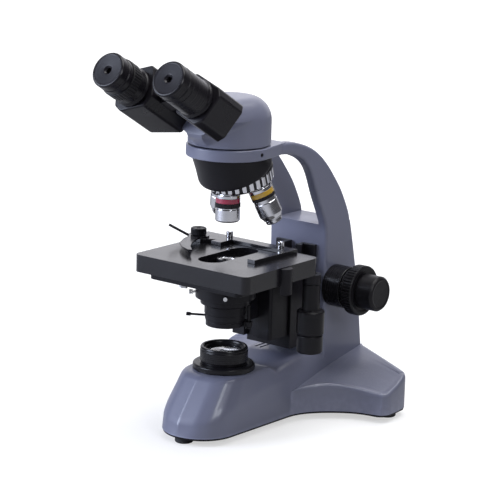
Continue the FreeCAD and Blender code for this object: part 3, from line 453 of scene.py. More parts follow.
def joined(name, pieces):
    """Several meshes as one piece."""
    work = bmesh.new()
    for piece in pieces:
        work.from_mesh(piece.data)
    mesh = bpy.data.meshes.new(name)
    work.to_mesh(mesh)
    work.free()
    for piece in pieces:
        bpy.data.objects.remove(piece)
    whole = bpy.data.objects.new(name, mesh)
    bpy.context.scene.collection.objects.link(whole)
    return whole


def dress(finish, *names):
    """Gives carried-over CAD nodes their finish."""
    for name in names:
        mesh = frame["nodes"][name].data
        mesh.materials.clear()
        mesh.materials.append(finish)


def softened(node_name, width, finish, angle=30, steps=2):
    """A machined part with its edges broken: the CAD node's mesh, merged, its flats made whole,
    then every edge sharper than the angle rounded by the width in millimetres."""
    source = frame["nodes"][node_name]
    work = bmesh.new()
    work.from_mesh(source.data)
    bmesh.ops.remove_doubles(work, verts=work.verts, dist=WELD)
    bmesh.ops.dissolve_limit(work, angle_limit=math.radians(0.6), verts=work.verts, edges=work.edges)
    mesh = bpy.data.meshes.new(node_name + "_made")
    work.to_mesh(mesh)
    work.free()
    piece = bpy.data.objects.new(node_name + "_made", mesh)
    bpy.context.scene.collection.objects.link(piece)
    if width:
        settle(piece, [bevelled(width, steps, angle)])
    piece.data.shade_smooth()
    piece.data.set_sharp_from_angle(angle=math.radians(angle))
    return fit(piece, source["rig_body"], finish, [node_name])


def turned(name, profile, ease, body, slot, finish, nodes=(), **how):
    """A turned part, ridden on its body and given its finish."""
    return fit(lathe(name, profile, ease, **how), body, finish, nodes)


def square_ring(inner, outer, low, high):
    """Profile of a plain ring between two radii and two heights."""
    return [(inner, low), (outer, low), (outer, high), (inner, high), (inner, low)]


BLACK_ENAMEL = coating("black_enamel", (0.0060, 0.0055, 0.0075), (0.0085, 0.0080, 0.0105), 0.34, 900.0, 0.08,
                       numbers=[("IOR", 1.28)], dust=0.02)
FOOT_RUBBER = coating("foot_rubber", (0.010, 0.010, 0.011), (0.016, 0.016, 0.017), 0.72, 1400.0, 0.25,
                      dust=0.12)
FOOT_SPOTS = [(0, -58), (97, 142), (-97, 142)]
softened("base_plate", 0.4, BLACK_ENAMEL)
foot_profile = [(0, 0), (4, 0), (8, 0), (9, 1.2), (8.3, 6), (2.9, 6), (2.9, 11), (0, 11)]
feet = [lathe("foot", foot_profile, 0.8, (x, y, 0), turns=48) for x, y in FOOT_SPOTS]
fit(joined("rubber_feet", feet), "stand", FOOT_RUBBER, ["feet"])


# ---- Arm casting ----
# The limb, its two curved ribs with the open window between them, and the ring that takes the
# head are one casting in the same slate enamel, bolted down onto the base.
LIMB_HALF = 35.0
RIB_INNER = 26.0
WINDOW_Z = 189.0
RING_LOW, RING_TOP = 270.0, 281.0
ARM_ROWS = 110
# front y and z, then rear y and z, up the limb and out along the ribs
ARM = [
    (116, 46, 184.5, 46), (116, 62, 181.8, 62), (115.6, 82, 179, 82), (115.1, 118, 173, 118),
    (114.6, 152, 165, 152), (114.2, 178, 158.6, 178), (113.4, 189, 155.4, 189), (110, 196, 151.3, 199),
    (105, 206, 146.3, 208.5), (98, 219, 137.2, 223.5), (93.4, 229, 126, 237), (89.6, 238, 112.6, 252.3),
    (85, 247, 98.5, 263.6), (78.6, 255.4, 86, 270.6), (68, 262.6, 73, 275.4), (52, 268.2, 55, 280.2),
    (34, 270, 34, 281),
]
arm_keys = np.array(ARM, float)[:, [0, 1, 1, 2, 3]]
arm_keys[:, 2] = 0
arm_line = flow(arm_keys, ARM_ROWS, 2)
sill = int(np.argmin(abs(arm_line[:, 1] - WINDOW_Z)))
arm_line[sill, [1, 4]] = WINDOW_Z
front_line, rear_line = arm_line[:, [0, 1]], arm_line[:, [3, 4]]


def across(x, line):
    """Points of a (y, z) line at one x."""
    return np.concatenate([np.full((len(line), 1), float(x)), line], 1)


skin_grid = eased(np.stack([across(RIB_INNER, front_line), across(LIMB_HALF, front_line),
                            across(LIMB_HALF, rear_line), across(RIB_INNER, rear_line)], 1), 3.6, 7)
span = np.linspace(0, RIB_INNER, 3)
limb_front = np.stack([across(x, front_line[:sill + 1]) for x in span], 1)
limb_rear = np.stack([across(x, rear_line[:sill + 1]) for x in span], 1)
depth = np.linspace(0, 1, 9)[:, None]
sill_line = front_line[sill] + (rear_line[sill] - front_line[sill]) * depth
floor_grid = np.stack([across(x, sill_line) for x in span], 1)
rib_side = across(RIB_INNER, front_line[sill:])[:, None] * (1 - depth) + \
    across(RIB_INNER, rear_line[sill:])[:, None] * depth
caps = []
for k in (0, -1):
    inner_x = 0.0 if k == 0 else RIB_INNER
    edge = skin_grid[k]
    caps.append(np.stack([edge, edge * [0, 1, 1] + [inner_x, 0, 0]], 1))
arm_cast = weld("arm_cast", [skin_grid, limb_front, limb_rear, floor_grid, rib_side] + caps, mirror=True)
settle(arm_cast, [bevelled(1.1, 3, 50)])

RING_RADIUS, BORE_RADIUS = 41.0, 29.05
TAPER = 6.0 / 33.0          # the ring's flanks narrow towards the ribs
TAIL_Y = 46.0
angle = np.linspace(0, 2 * math.pi, 193)
level, rise = np.cos(angle), np.sin(angle)
flank_reach = (RING_RADIUS + 3 * TAPER) / (abs(level) + rise * TAPER + 1e-9)
tail_reach = np.where(rise > 0.05, TAIL_Y / np.maximum(rise, 0.05), 1e3)
reach = np.where(rise > 0.073, np.minimum(flank_reach, tail_reach), RING_RADIUS)
outer = np.stack([reach * level, reach * rise], 1)
bore = np.stack([BORE_RADIUS * level, BORE_RADIUS * rise], 1)
levels = [(bore, RING_LOW), (outer, RING_LOW), (outer, RING_TOP), (bore, RING_TOP)]
ring = np.stack([np.concatenate([plan, np.full((len(angle), 1), z)], 1) for plan, z in levels], 1)
ring = np.concatenate([eased(ring, 1.3, 4), ring[:, :1]], 1)
LOCK_BORE = (37.5, 43, -2, 275.5, 2.05)
arm_ring = cut(weld("arm_ring", [ring]), [tunnel(*LOCK_BORE)])
fit(joined("arm_with_ring", [arm_cast, arm_ring]), "stand", SLATE_ENAMEL, ["arm"])


# ---- Illuminator ----
# A black turned flange on the toe carries the knurled ring that holds the field lens. Below it,
# inside the base, sit the lamp holder and the supply board; the lead plugs in at the back.
GLASS, glass_shader, glass_where = blank_finish("optical_glass", [
    ("Transmission Weight", 1.0), ("IOR", 1.52), ("Metallic", 0.0), ("Coat Weight", 0.6),
    ("Coat Roughness", 0.02)])
glass_tree = GLASS.node_tree
glass_dust = effect(glass_tree, DUST, [("Vector", glass_where)]).outputs["Mask"]
glass_rough = sum_of(glass_tree, "MULTIPLY_ADD", glass_dust, 0.15, 0.01)
glass_tree.links.new(glass_rough, glass_shader.inputs["Roughness"])
glass_tint = mixed(glass_tree, glass_dust, (0.86, 0.90, 0.98), (0.80, 0.82, 0.84))
glass_tree.links.new(glass_tint, glass_shader.inputs["Base Color"])


def marks_group():
    """Tool marks of turning: noise along the axis alone, read from the piece's own lathe coordinates,
    drawn very long round the piece, with a slow change of tone between passes."""
    tree, given, out = group("turning_marks", [("NodeSocketFloat", "Pitch", 9.0)],
                             [("NodeSocketFloat", "Height"), ("NodeSocketFloat", "Tone")])
    spun = node(tree, "ShaderNodeAttribute", attribute_name="lathe")
    apart = node(tree, "ShaderNodeSeparateXYZ", [("Vector", spun.outputs["Vector"])])
    x_squared, y_squared = [sum_of(tree, "POWER", apart.outputs[way], 2.0) for way in "XY"]
    radius = sum_of(tree, "SQRT", sum_of(tree, "ADD", x_squared, y_squared))
    line = sum_of(tree, "ADD", apart.outputs["Z"], radius)
    fine = node(tree, "ShaderNodeTexNoise", [("W", line), ("Scale", given.outputs["Pitch"]),
                                             ("Detail", 2.0)], noise_dimensions="1D")
    slow = node(tree, "ShaderNodeTexNoise", [("W", line), ("Scale", 0.7), ("Detail", 3.0)],
                noise_dimensions="1D")
    tree.links.new(fine.outputs["Fac"], out.inputs["Height"])
    tree.links.new(slow.outputs["Fac"], out.inputs["Tone"])
    return tree


MARKS = marks_group()


def turned_finish(name, colour, second, roughness, metallic, bump, numbers=()):
    """Turned metal or enamel on turned metal: tone and roughness drift along the axis, fine tool
    marks in the bump, convex edges painted a little brighter as a painted highlight."""
    made, shader, where = blank_finish(name, [("Metallic", metallic), *numbers])
    tree = made.node_tree
    marks = effect(tree, MARKS, [])
    tone = marks.outputs["Tone"]
    lit_edge = effect(tree, EDGE_HIGHLIGHT, [("Vector", where)]).outputs["Mask"]
    # convex edges painted brighter: a painted highlight, broken up by noise
    highlighted = mixed(tree, lit_edge, mixed(tree, tone, colour, second), highlight_colour(colour, 1.5))
    rough = ranged(tree, tone, 0.3, 0.7, roughness * 0.8, roughness * 1.2)
    skinned(tree, shader, highlighted, rough, marks.outputs["Height"], bump, 0.00005)
    return made


TURNED_BLACK = turned_finish("black_anodised", (0.0060, 0.0055, 0.0070), (0.0095, 0.0090, 0.0110), 0.28,
                             0.0, 0.25, [("IOR", 1.32)])
CHROME = turned_finish("satin_chrome", (0.62, 0.62, 0.65), (0.72, 0.72, 0.75), 0.16, 1.0, 0.35)
STEEL = turned_finish("turned_steel", (0.52, 0.52, 0.54), (0.62, 0.62, 0.63), 0.26, 1.0, 0.4)
BRASS = turned_finish("turned_brass", (0.62, 0.42, 0.17), (0.70, 0.50, 0.22), 0.30, 1.0, 0.4)
FLANGE_LOW = 61.0
turned("illuminator_base", [(16, 52), (23.5, 52), (23.5, FLANGE_LOW), (30.1, FLANGE_LOW), (30.1, 66),
                            (28.8, 67), (16, 67), (16, 52)], 0.7,
       "stand", "black_paint", TURNED_BLACK, ["illuminator_flange"], turns=128)
turned("field_lens_ring", [(17.5, 67), (22.2, 67), (22.2, 69.2), (23.2, 69.4), (23.2, 79.6), (22.6, 80.2),
                           (22.6, 81.2), (23.1, 81.6), (22.2, 83.3), (20.2, 83.3), (19.4, 82.4),
                           (18.9, 80.9), (17.5, 80.8), (17.5, 67)], 0.5,
       "stand", "black_paint", TURNED_BLACK, ["field_ring"], turns=288, flutes=[(70, 79.2, 72, 0.35, 2)])


def crowned(radius, low, high, dome, steps):
    """Profile of a flat-backed lens whose top falls by dome * (r / radius)^2 from its middle."""
    rise = [(radius * k / steps, high - dome * (k / steps) ** 2) for k in range(steps + 1)]
    return [(0, low), (radius, low)] + rise[::-1]


turned("field_lens_glass", crowned(17.4, 74.7, 80.7, 2.5, 12), 0.01,
       "stand", "optical_glass", GLASS, ["field_lens"], turns=96, steps=2)
BOARD_GREEN = coating("board_lacquer", (0.010, 0.055, 0.022), (0.014, 0.075, 0.03), 0.35, 1600.0, 0.3,
                      patch=300.0)
LED_YELLOW = coating("led_phosphor", (0.60, 0.42, 0.06), (0.68, 0.50, 0.09), 0.45, 2200.0, 0.2)
dress(BOARD_GREEN, "circuit_board")
dress(LED_YELLOW, "lamp")
BLACK_PLASTIC = coating("black_moulding", (0.0070, 0.0066, 0.0080), (0.0100, 0.0095, 0.0115), 0.40, 2200.0,
                        0.22, numbers=[("IOR", 1.33)], dust=0.03)
softened("power_inlet", 0.35, BLACK_PLASTIC)
softened("power_switch", 0.5, BLACK_PLASTIC)
DIAL_PLACE = (20, 27)       # y and z of its axle, which runs across the base
fit(joined("brightness_wheel", [
    lathe("wheel", [(0, 0), (8.2, 0), (9, 0.8), (9, 7.2), (8.2, 8), (3, 8), (0, 7.7)], 0.4,
          (-38.8, *DIAL_PLACE), (-1, 0, 0), turns=192, flutes=[(0.6, 7.4, 24, 0.6, 2)]),
    lathe("shaft", [(0, 0), (3, 0), (3, 14), (0, 14)], 0.2, (-25, *DIAL_PLACE), (-1, 0, 0), turns=32)]),
    "dial", BLACK_PLASTIC, ["brightness_dial"])
dress(STEEL, "base_screws")


# ---- Nosepiece and objectives ----
# A black cast cone hangs from the ring. The turret under it turns on a tilted axis by its bright
# fluted rim and carries four chromed barrels, each with an enamelled band for its power.
TILT = math.radians(18.0)
SEAT_Z, SEAT_CIRCLE = 234.0, 21.0
turret_down = np.array([0.0, math.sin(TILT), -math.cos(TILT)])
turret_up = -turret_down
spoke = np.array([0.0, -math.cos(TILT), -math.sin(TILT)])
turret_centre = np.array([0.0, 0.0, SEAT_Z]) - spoke * SEAT_CIRCLE
side_way = np.array([1.0, 0.0, 0.0])


def tilted_circle(radius, rise, turn):
    """Points of a circle square to the turret's axis, at a rise above its centre."""
    return (turret_centre + turret_up * rise
            + radius * (np.cos(turn)[:, None] * side_way + np.sin(turn)[:, None] * -spoke))


turn = np.linspace(0, 2 * math.pi, 145)
top_circle = np.stack([36 * np.cos(turn), 36 * np.sin(turn), turn * 0 + RING_LOW], 1)
tuck_circle = np.stack([29 * np.cos(turn), 29 * np.sin(turn), turn * 0 + RING_LOW], 1)
SKIRT_TILT, SKIRT_Y, SKIRT_Z = math.radians(27.6), 10.0, 254.7


def skirt_circle(radius):
    """Points of the cone's lower edge: a circle tilted more than the turret, low at the front."""
    rise = radius * np.sin(turn)
    return np.stack([radius * np.cos(turn), SKIRT_Y + rise * math.cos(SKIRT_TILT),
                     np.minimum(SKIRT_Z + rise * math.sin(SKIRT_TILT), RING_LOW - 1.5)], 1)


low_circle = skirt_circle(36.6)
BELLY_SHARE, BELLY_RAISE = 0.6, 2
belly_circle = top_circle * (1 - BELLY_SHARE) + low_circle * BELLY_SHARE + [0, 0, BELLY_RAISE]
cone_grid = np.stack([tuck_circle, top_circle, belly_circle, low_circle, skirt_circle(33.8),
                      tilted_circle(33.2, 14.0, turn), tilted_circle(25.2, 13.65, turn),
                      tilted_circle(25.2, 15.4, turn)], 1)
cone_ease = np.array([0.8, 6.0, 3.4, 0.6, 0.3, 0.3])
neck = lathe("neck", [(11, 268), (28.8, 268), (28.8, 277), (11, 277)], 0.3, turns=96)
post = lathe("post", [(0, -1), (4, -1), (4, 23), (0, 23)], 0.3, turret_centre, turret_up, turns=32)
cone = weld("cone", [eased(cone_grid, cone_ease[None, :], 7)])
fit(joined("nosepiece_cone", [cone, neck, post]), "stand", BLACK_ENAMEL, ["nosepiece_housing"])
turned("turret_rim", [(30.5, 3.2), (31.9, 3.2), (32.4, 3.8), (32.4, 12.4), (31.8, 13.2), (24.75, 13.2),
                      (24.75, 7.6), (30.5, 7.5), (30.5, 3.2)], 0.3, "turret", "bright_metal", CHROME,
       ["turret_grip_ring"], at=turret_centre, axis=turret_up, turns=400, flutes=[(3.6, 12.7, 28, 2.0, 1.0)])
PLATE_STEEL = coating("turret_plate_satin", (0.20, 0.20, 0.21), (0.26, 0.26, 0.27), 0.34, 1800.0, 0.12,
                      numbers=[("Metallic", 1.0)])
dress(PLATE_STEEL, "turret_plate")

GRIP_BLACK = coating("knurl_black", (0.010, 0.009, 0.011), (0.016, 0.015, 0.017), 0.38, 1500.0, 0.2,
                     numbers=[("IOR", 1.35)])
# a black ring inside the fluted rim that shows at the bottoms of the flutes: painted shade in the grooves
turned("turret_groove_shade", square_ring(30.6, 31.75, 3.9, 12.5), 0.1, "turret", "black_plastic", GRIP_BLACK,
       at=turret_centre, axis=turret_up, turns=200)
BAND_COLOURS = {
    "4x": ("enamel_red", (0.26, 0.010, 0.040), (0.32, 0.016, 0.055)),
    "10x": ("enamel_yellow", (0.44, 0.26, 0.025), (0.52, 0.32, 0.04)),
    "40x": ("enamel_blue", (0.02, 0.12, 0.46), (0.03, 0.15, 0.52)),
    "100x": ("enamel_white", (0.72, 0.72, 0.70), (0.78, 0.78, 0.76)),
}
ENAMELS = {"objective_" + power: turned_finish(*tones, 0.22, 0.0, 0.1, [("Coat Weight", 0.8)])
           for power, tones in BAND_COLOURS.items()}
# turn angle, barrel outline below the grip, front lens radius
OBJECTIVES = {
    "objective_4x": (0, [(11.2, 14.2), (11.2, 15.2), (11.8, 15.6), (11.8, 26.2), (11.3, 27.2), (9.4, 28),
                         (6.5, 28), (6.2, 26.5)], 6.0),
    "objective_10x": (90, [(11.2, 16.4), (11.6, 16.8), (11.6, 29.4), (9.2, 33.4), (9.2, 34.2), (8.2, 34.6),
                           (8.2, 37.6), (7.2, 38.5), (3.4, 38.5), (3.0, 37.6)], 3.0),
    "objective_40x": (180, [(11.2, 16.4), (11.6, 16.8), (11.6, 27), (8.7, 35.6), (8.7, 36.4), (5.6, 36.8),
                            (5.5, 38.6), (4.6, 43.5), (3.4, 43.5), (3.0, 42.6)], 3.0),
    "objective_100x": (270, [(11.2, 16.4), (11.6, 16.8), (11.6, 29), (8.7, 36.8), (8.7, 37.4), (5.1, 38),
                             (5.0, 40), (3.9, 43.5), (3.3, 43.5), (3.0, 42.6)], 3.0),
}
# every barrel has the same thread, shoulder and groove for its colour band
BARREL_TOP = [(4, -4.5), (8.1, -4.5), (8.1, 0), (9.5, 0), (9.5, 1.8), (11.8, 1.8), (11.8, 4.8), (11.0, 4.9),
              (11.0, 9.5), (11.2, 9.6), (11.2, 10.0)]
BAND = [(11.0, 4.95), (11.8, 5.0), (11.8, 9.45), (11.0, 9.5)]
fronts = []
for name, (phase, barrel, lens) in OBJECTIVES.items():
    spin = math.radians(phase)
    out = spoke * math.cos(spin) + side_way * math.sin(spin)
    seat = turret_centre + out * SEAT_CIRCLE
    way = turret_down * math.cos(TILT) + out * math.sin(TILT)
    short = name == "objective_4x"
    low, grip_low, grip_radius = (14.0, 13.8, 12.1) if short else (16.0, 12.6, 11.8)
    deep = barrel[-1][1]
    outline = BARREL_TOP + [(11.2, low)] + barrel + [(4, deep - 1.5), (4, -4.5)]
    held = {"at": seat, "axis": way}
    turned(name + "_barrel", outline, 0.25, "turret", "bright_metal", CHROME, [name], turns=96, **held)
    grip = [(11.21, 9.6), (grip_radius, 9.7), (grip_radius, grip_low), (11.21, grip_low + 0.4)]
    turned(name + "_grip", grip, 0.3, "turret", "black_plastic", GRIP_BLACK, turns=240,
           flutes=[(9.9, grip_low - 0.1, 40, 0.5, 1.5)], **held)
    turned(name + "_band", BAND, 0.25, "turret", "enamel", ENAMELS[name], turns=96, **held)
    front = [(0, deep - 0.5), (lens, deep - 0.5), (lens, deep), (lens * 0.6, deep + 0.25), (0, deep + 0.35)]
    fronts.append(lathe("front", front, 0.1, turns=48, **held))
fit(joined("objective_front_lenses", fronts), "turret", GLASS,
    ["objective_lenses", "colour_rings"])


# ---- Binocular head ----
# A die-cast hood in the slate enamel stands on the ring by its dovetail. Its slanted face carries
# the hinge of two black cast arms that lap over each other and fold to suit the user's eyes.
HINGE = np.array([0.0, 0.0, 297.6])
RISE = math.radians(30.0)
tube_way = np.array([0.0, -math.cos(RISE), math.sin(RISE)])
tube_down = np.array([0.0, -math.sin(RISE), -math.cos(RISE)])
HEAD_RADIUS, HEAD_LOW, HEAD_TOP = 39.5, 282.5, 327.0
SHOULDER_Z, SHOULDER_IN = 304.0, 21.0
CHIN_Z, CHIN_Y, FACE_TOP_Y = 296.6, -53.0, -42.4
ROUND_BELOW = 293.5         # under this height the hood eases back into the ring's circle
z_rows = np.concatenate([np.linspace(HEAD_LOW, CHIN_Z, 12), np.linspace(CHIN_Z, SHOULDER_Z, 5)[1:],
                         SHOULDER_Z + (HEAD_TOP - SHOULDER_Z) * np.sin(np.linspace(0, math.pi / 2, 16))[1:]])
share = np.clip((z_rows - SHOULDER_Z) / (HEAD_TOP - SHOULDER_Z), 0, 1)
draw_in = SHOULDER_IN * (1 - np.sqrt(np.maximum(0, 1 - share ** 2)))
face_y = np.interp(z_rows, [HEAD_LOW, 287, 292.6, CHIN_Z, HEAD_TOP], [-45, -48.5, -51.5, CHIN_Y, FACE_TOP_Y])
roundness = np.clip((ROUND_BELOW - z_rows) / (ROUND_BELOW - HEAD_LOW), 0, 1) ** 1.3
n_face, n_side, n_rear = 10, 16, 33
scale = 1 - draw_in / HEAD_RADIUS
face_half = np.interp(z_rows, [HEAD_LOW, CHIN_Z, 309], [6, 9, 34]) * scale
t = np.linspace(0, 1, n_face)
face_x = face_half[:, None] * (2 * t - 1)[None]
face_pts = np.stack([face_x, np.repeat(face_y[:, None], n_face, 1)], -1)
t = np.linspace(0, 1, n_side)
right_y = face_y[:, None] * (1 - t)[None]
right_x = face_half[:, None] * (1 - t)[None] + HEAD_RADIUS * scale[:, None] * t[None]
round_x = np.sqrt(np.maximum(0, HEAD_RADIUS ** 2 - right_y ** 2)) * scale[:, None]
right_x = np.maximum(right_x, round_x)
right_pts = np.stack([right_x, right_y], -1)
t = np.linspace(0, math.pi, n_rear)
rear_pts = np.stack([HEAD_RADIUS * scale[:, None] * np.cos(t)[None],
                     (HEAD_RADIUS - draw_in)[:, None] * np.sin(t)[None]], -1)
left_pts = (right_pts * [-1, 1])[:, ::-1]
plan = np.concatenate([face_pts, right_pts[:, 1:], rear_pts[:, 1:], left_pts[:, 1:]], 1)
disc_plan = plan / np.linalg.norm(plan, axis=-1, keepdims=True) * HEAD_RADIUS
plan = plan + (disc_plan - plan) * roundness[:, None, None]
hood = np.concatenate([plan, np.repeat(z_rows[:, None, None], plan.shape[1], 1)], -1)
lid_middle = np.array([0.0, -14.0, 0.0])
shrink = np.array([0.66, 0.33, 0.0])[:, None, None]     # the flat top closes in three steps
lid = lid_middle + (hood[-1:] - lid_middle) * [1, 1, 0] * shrink + [0, 0, HEAD_TOP]
under = hood[:1] * np.array([0.7, 0.7, 1])
sole = hood[:1] * np.array([0.0, 0.0, 1])
hood_cast = weld("hood", [np.concatenate([sole, under, hood, lid])])
settle(hood_cast, [bevelled(1.4, 3, 38)])
dovetail = lathe("dovetail", [(12, 277.2), (28.7, 277.2), (28.7, 283), (12, 283)], 0.3, turns=64)
fit(joined("head_hood", [hood_cast, dovetail]), "head", SLATE_ENAMEL, ["head_housing"])
dress(GLASS, "head_prism")
dress(GRIP_BLACK, "head_lock_screw")
CAST_BLACK = coating("cast_black", (0.0070, 0.0062, 0.0085), (0.0100, 0.0090, 0.0118), 0.30, 800.0, 0.08,
                     numbers=[("IOR", 1.30)], dust=0.02)
ARM_DROP, ARM_LENGTH, ARM_MIDDLE = math.radians(19.3), 37.5, 72.5
ARM_FRONTS = {1: 101.0, -1: 105.5}
HUB_RADIUS = 15.6
SIDES = (("right", 1), ("left", -1))
# an arm's outline across the hinge: out from the hinge, and down
ARM_OUTLINE = [(16.4, -17), (19.4, -20), (52, -20), (58, -14), (58, 13), (51.5, 20), (25, 20), (16.4, 11)]
# where its back face lies along the hinge, inner to outer, on each side
ARM_BACKS = {1: ([16, 40, 58], [50, 54, 62.5]), -1: ([16, 26, 40, 58], [41, 41.5, 47, 57.5])}


def arm_point(side, out, down, along):
    """Points in a drooping arm's own frame: turned down about the hinge by the arm's drop."""
    sideways = out * math.cos(ARM_DROP) - down * math.sin(ARM_DROP)
    lowered = out * math.sin(ARM_DROP) + down * math.cos(ARM_DROP)
    place = [np.multiply.outer(np.asarray(v, float), way) for v, way in
             ((side * sideways, side_way), (lowered, tube_down), (np.asarray(along) + out * 0, tube_way))]
    return HINGE + place[0] + place[1] + place[2]


def arm_prism(side, outline, back, front):
    """Closed prism on an outline from a back to a front, both given for every corner."""
    ring = np.array(outline + outline[:1], float)
    out, down = ring[:, 0], ring[:, 1]
    back, front = out * 0 + back, out * 0 + front
    mean_out, mean_down = out * 0 + out[:-1].mean(), out * 0 + down[:-1].mean()
    rows = [(mean_out, mean_down, back * 0 + back[:-1].mean()), (out, down, back), (out, down, front),
            (mean_out, mean_down, front)]
    return weld("prism", [np.stack([arm_point(side, *row) for row in rows])])


for label, side in SIDES:
    outs, backs = ARM_BACKS[side]
    back = np.interp([q[0] for q in ARM_OUTLINE + ARM_OUTLINE[:1]], outs, backs)
    shell = settle(arm_prism(side, ARM_OUTLINE, back, ARM_FRONTS[side]), [bevelled(1.6, 3, 25)])
    lap = (54.0, ARM_MIDDLE - 0.15) if side > 0 else (ARM_MIDDLE + 0.15, 91.0)
    bridge = arm_prism(side, [(4, -12.5), (20, -12.5), (20, 12.5), (4, 12.5)], lap[0], lap[1])
    knuckle = lathe("knuckle", square_ring(9.1, 15, *lap), 0.4, HINGE, tube_way, turns=96)
    whole = joined("tube_arm_shell_" + label, [shell, bridge, knuckle])
    fit(whole, label + "_tube", CAST_BLACK, ["tube_arm_" + label])
HUB_FRONT = 100.0
hub = [(0, 34), (9, 34), (9, 91.4), (HUB_RADIUS, 91.4), (HUB_RADIUS, 99.2), (HUB_RADIUS - 0.8, HUB_FRONT),
       (0, HUB_FRONT)]
turned("hub_cap", hub, 0.4, "head", "black_paint", TURNED_BLACK, ["hub_pin"], at=HINGE, axis=tube_way,
       turns=96)
SCALE_WHITE = coating("scale_white", (0.62, 0.62, 0.62), (0.70, 0.70, 0.69), 0.5, 2000.0, 0.1)
TICK_COUNT, TICK_FROM, TICK_STEP = 9, 198, 11       # angles in degrees
TICK_LONG, TICK_SHORT, TICK_HALF, TICK_RAISED, TICK_EDGE = 3.4, 1.9, 0.28, 0.12, 1.3
ticks = []
for k in range(TICK_COUNT):
    lean, long = math.radians(TICK_FROM - TICK_STEP * k), TICK_LONG if k % 4 == 0 else TICK_SHORT
    outward = side_way * math.cos(lean) - tube_down * math.sin(lean)
    beside = np.cross(tube_way, outward) * TICK_HALF
    near, far = [HINGE + tube_way * HUB_FRONT + outward * reached
                 for reached in (HUB_RADIUS - TICK_EDGE - long, HUB_RADIUS - TICK_EDGE)]
    foot_loop = np.stack([near - beside, far - beside, far + beside, near + beside, near - beside])
    top_loop = foot_loop + tube_way * TICK_RAISED
    ticks.append(weld("tick", [np.stack([foot_loop * 0 + foot_loop[:4].mean(0), foot_loop, top_loop,
                                         top_loop * 0 + top_loop[:4].mean(0)])]))
fit(joined("eye_spacing_ticks", ticks), "head", SCALE_WHITE)


# ---- Eye tubes and eyepieces ----
# Black turned tubes screw into the arms over a flared ring. The left one has a knurled ring that
# trims its length. The eyepieces have flat tops with a small dished opening and a stepped collar.
EYE_END = 147.7
TUBE_ENDS = {1: 131.0, -1: 119.0}
EYE_BLACK = turned_finish("eyepiece_lacquer", (0.0085, 0.0078, 0.0100), (0.0105, 0.0095, 0.0120), 0.24,
                          0.0, 0.07, [("IOR", 1.29)])
for label, side in SIDES:
    body = label + "_tube"
    root = (HINGE + side_way * side * ARM_LENGTH * math.cos(ARM_DROP)
            + tube_down * ARM_LENGTH * math.sin(ARM_DROP))
    length = TUBE_ENDS[side]
    rim = ARM_FRONTS[side]
    tube = [(9, 62), (10.4, 62), (10.4, rim + 0.1), (16.9, rim + 0.1), (18.6, rim + 1.8), (18.6, rim + 3.6),
            (17.4, rim + 5.4), (17.4, length), (11.65, length), (11.65, 99), (9, 99), (9, 62)]
    held = {"at": root, "axis": tube_way}
    turned("eye_sleeve_" + label, tube, 0.7, body, "black_paint", EYE_BLACK, ["eye_tube_" + label],
           turns=112, **held)
    top = [(9.8, 104), (11.6, 104), (11.6, 131.3), (17.4, 131.3), (17.4, 136.6), (16.7, 137.2), (16.7, 139.2),
           (17.2, 139.7), (17.2, EYE_END - 1.5), (16.2, EYE_END - 0.1), (14.9, EYE_END),
           (14.6, EYE_END - 0.35), (4.4, EYE_END - 0.6), (2.8, EYE_END - 1.8), (2.6, EYE_END - 2.2),
           (2.6, 136), (9.8, 135.6), (9.8, 104)]
    turned("eyepiece_shell_" + label, top, 0.35, body, "black_paint", EYE_BLACK, ["eyepiece_" + label],
           turns=128, **held)
    turned("eye_lens_" + label, crowned(2.6, EYE_END - 8, EYE_END - 6.0, 0.3, 8), 0.01, body,
           "optical_glass", GLASS, turns=64, steps=2, **held)
# the loop's last root is the left tube's
turned("dioptre_collar", [(11.65, 119.3), (17.8, 119.3), (18.4, 119.9), (18.4, 130.4), (17.8, 131),
                          (11.65, 131), (11.65, 119.3)], 0.3, "dioptre", "black_plastic", BLACK_PLASTIC,
       ["dioptre_ring"], at=root, axis=tube_way, turns=288, flutes=[(120, 130.3, 36, 0.5, 2)])


# ---- Focus drive ----
# A coarse and a fine knob on each side run on one shaft through the limb, in fixed sleeves. A ring
# beside the right-hand knob sets the drag. A guide and rack behind the stage carrier lift the stage.
FOCUS_AT = (0, 130, 126)
KNOB_BLACK = coating("knob_black", (0.0065, 0.0060, 0.0075), (0.0100, 0.0094, 0.0112), 0.36, 1800.0, 0.18,
                     numbers=[("IOR", 1.28)], dust=0.03)
softened("focus_guide", 0.6, BLACK_ENAMEL)
collar = [(7.05, 24), (12, 24), (12, 35), (21, 35), (21, 54.4), (20.4, 55), (16, 55), (16, 60), (7.05, 60),
          (7.05, 24)]
collars = [lathe("collar", collar, 0.4, FOCUS_AT, (side, 0, 0), turns=96) for side in (1, -1)]
fit(joined("focus_sleeves", collars), "stand", TURNED_BLACK, ["focus_collars"])
turned("drag_ring", [(16.05, 55.3), (19.4, 55.3), (20, 55.9), (20, 59.3), (19.5, 59.8), (16.05, 59.8),
                     (16.05, 55.3)], 0.2, "tension", "black_plastic", KNOB_BLACK, ["tension_ring"],
       at=FOCUS_AT, axis=(1, 0, 0), turns=240, flutes=[(55.8, 59.4, 30, 0.6, 2)])
coarse = [(7, 60.5), (23.6, 60.5), (25, 61.7), (25, 70.9), (23.8, 72), (21, 72), (19.5, 71.2), (12, 71.2),
          (12, 68), (7, 68), (7, 60.5)]
fine = [(4, 68.5), (11.5, 68.5), (11.5, 72.4), (16.9, 72.4), (17.5, 73.2), (17.5, 89.6), (15.9, 91.6),
        (14.2, 92), (13.0, 91.4), (0, 91.2), (0, 86.05), (4, 86.05), (4, 68.5)]
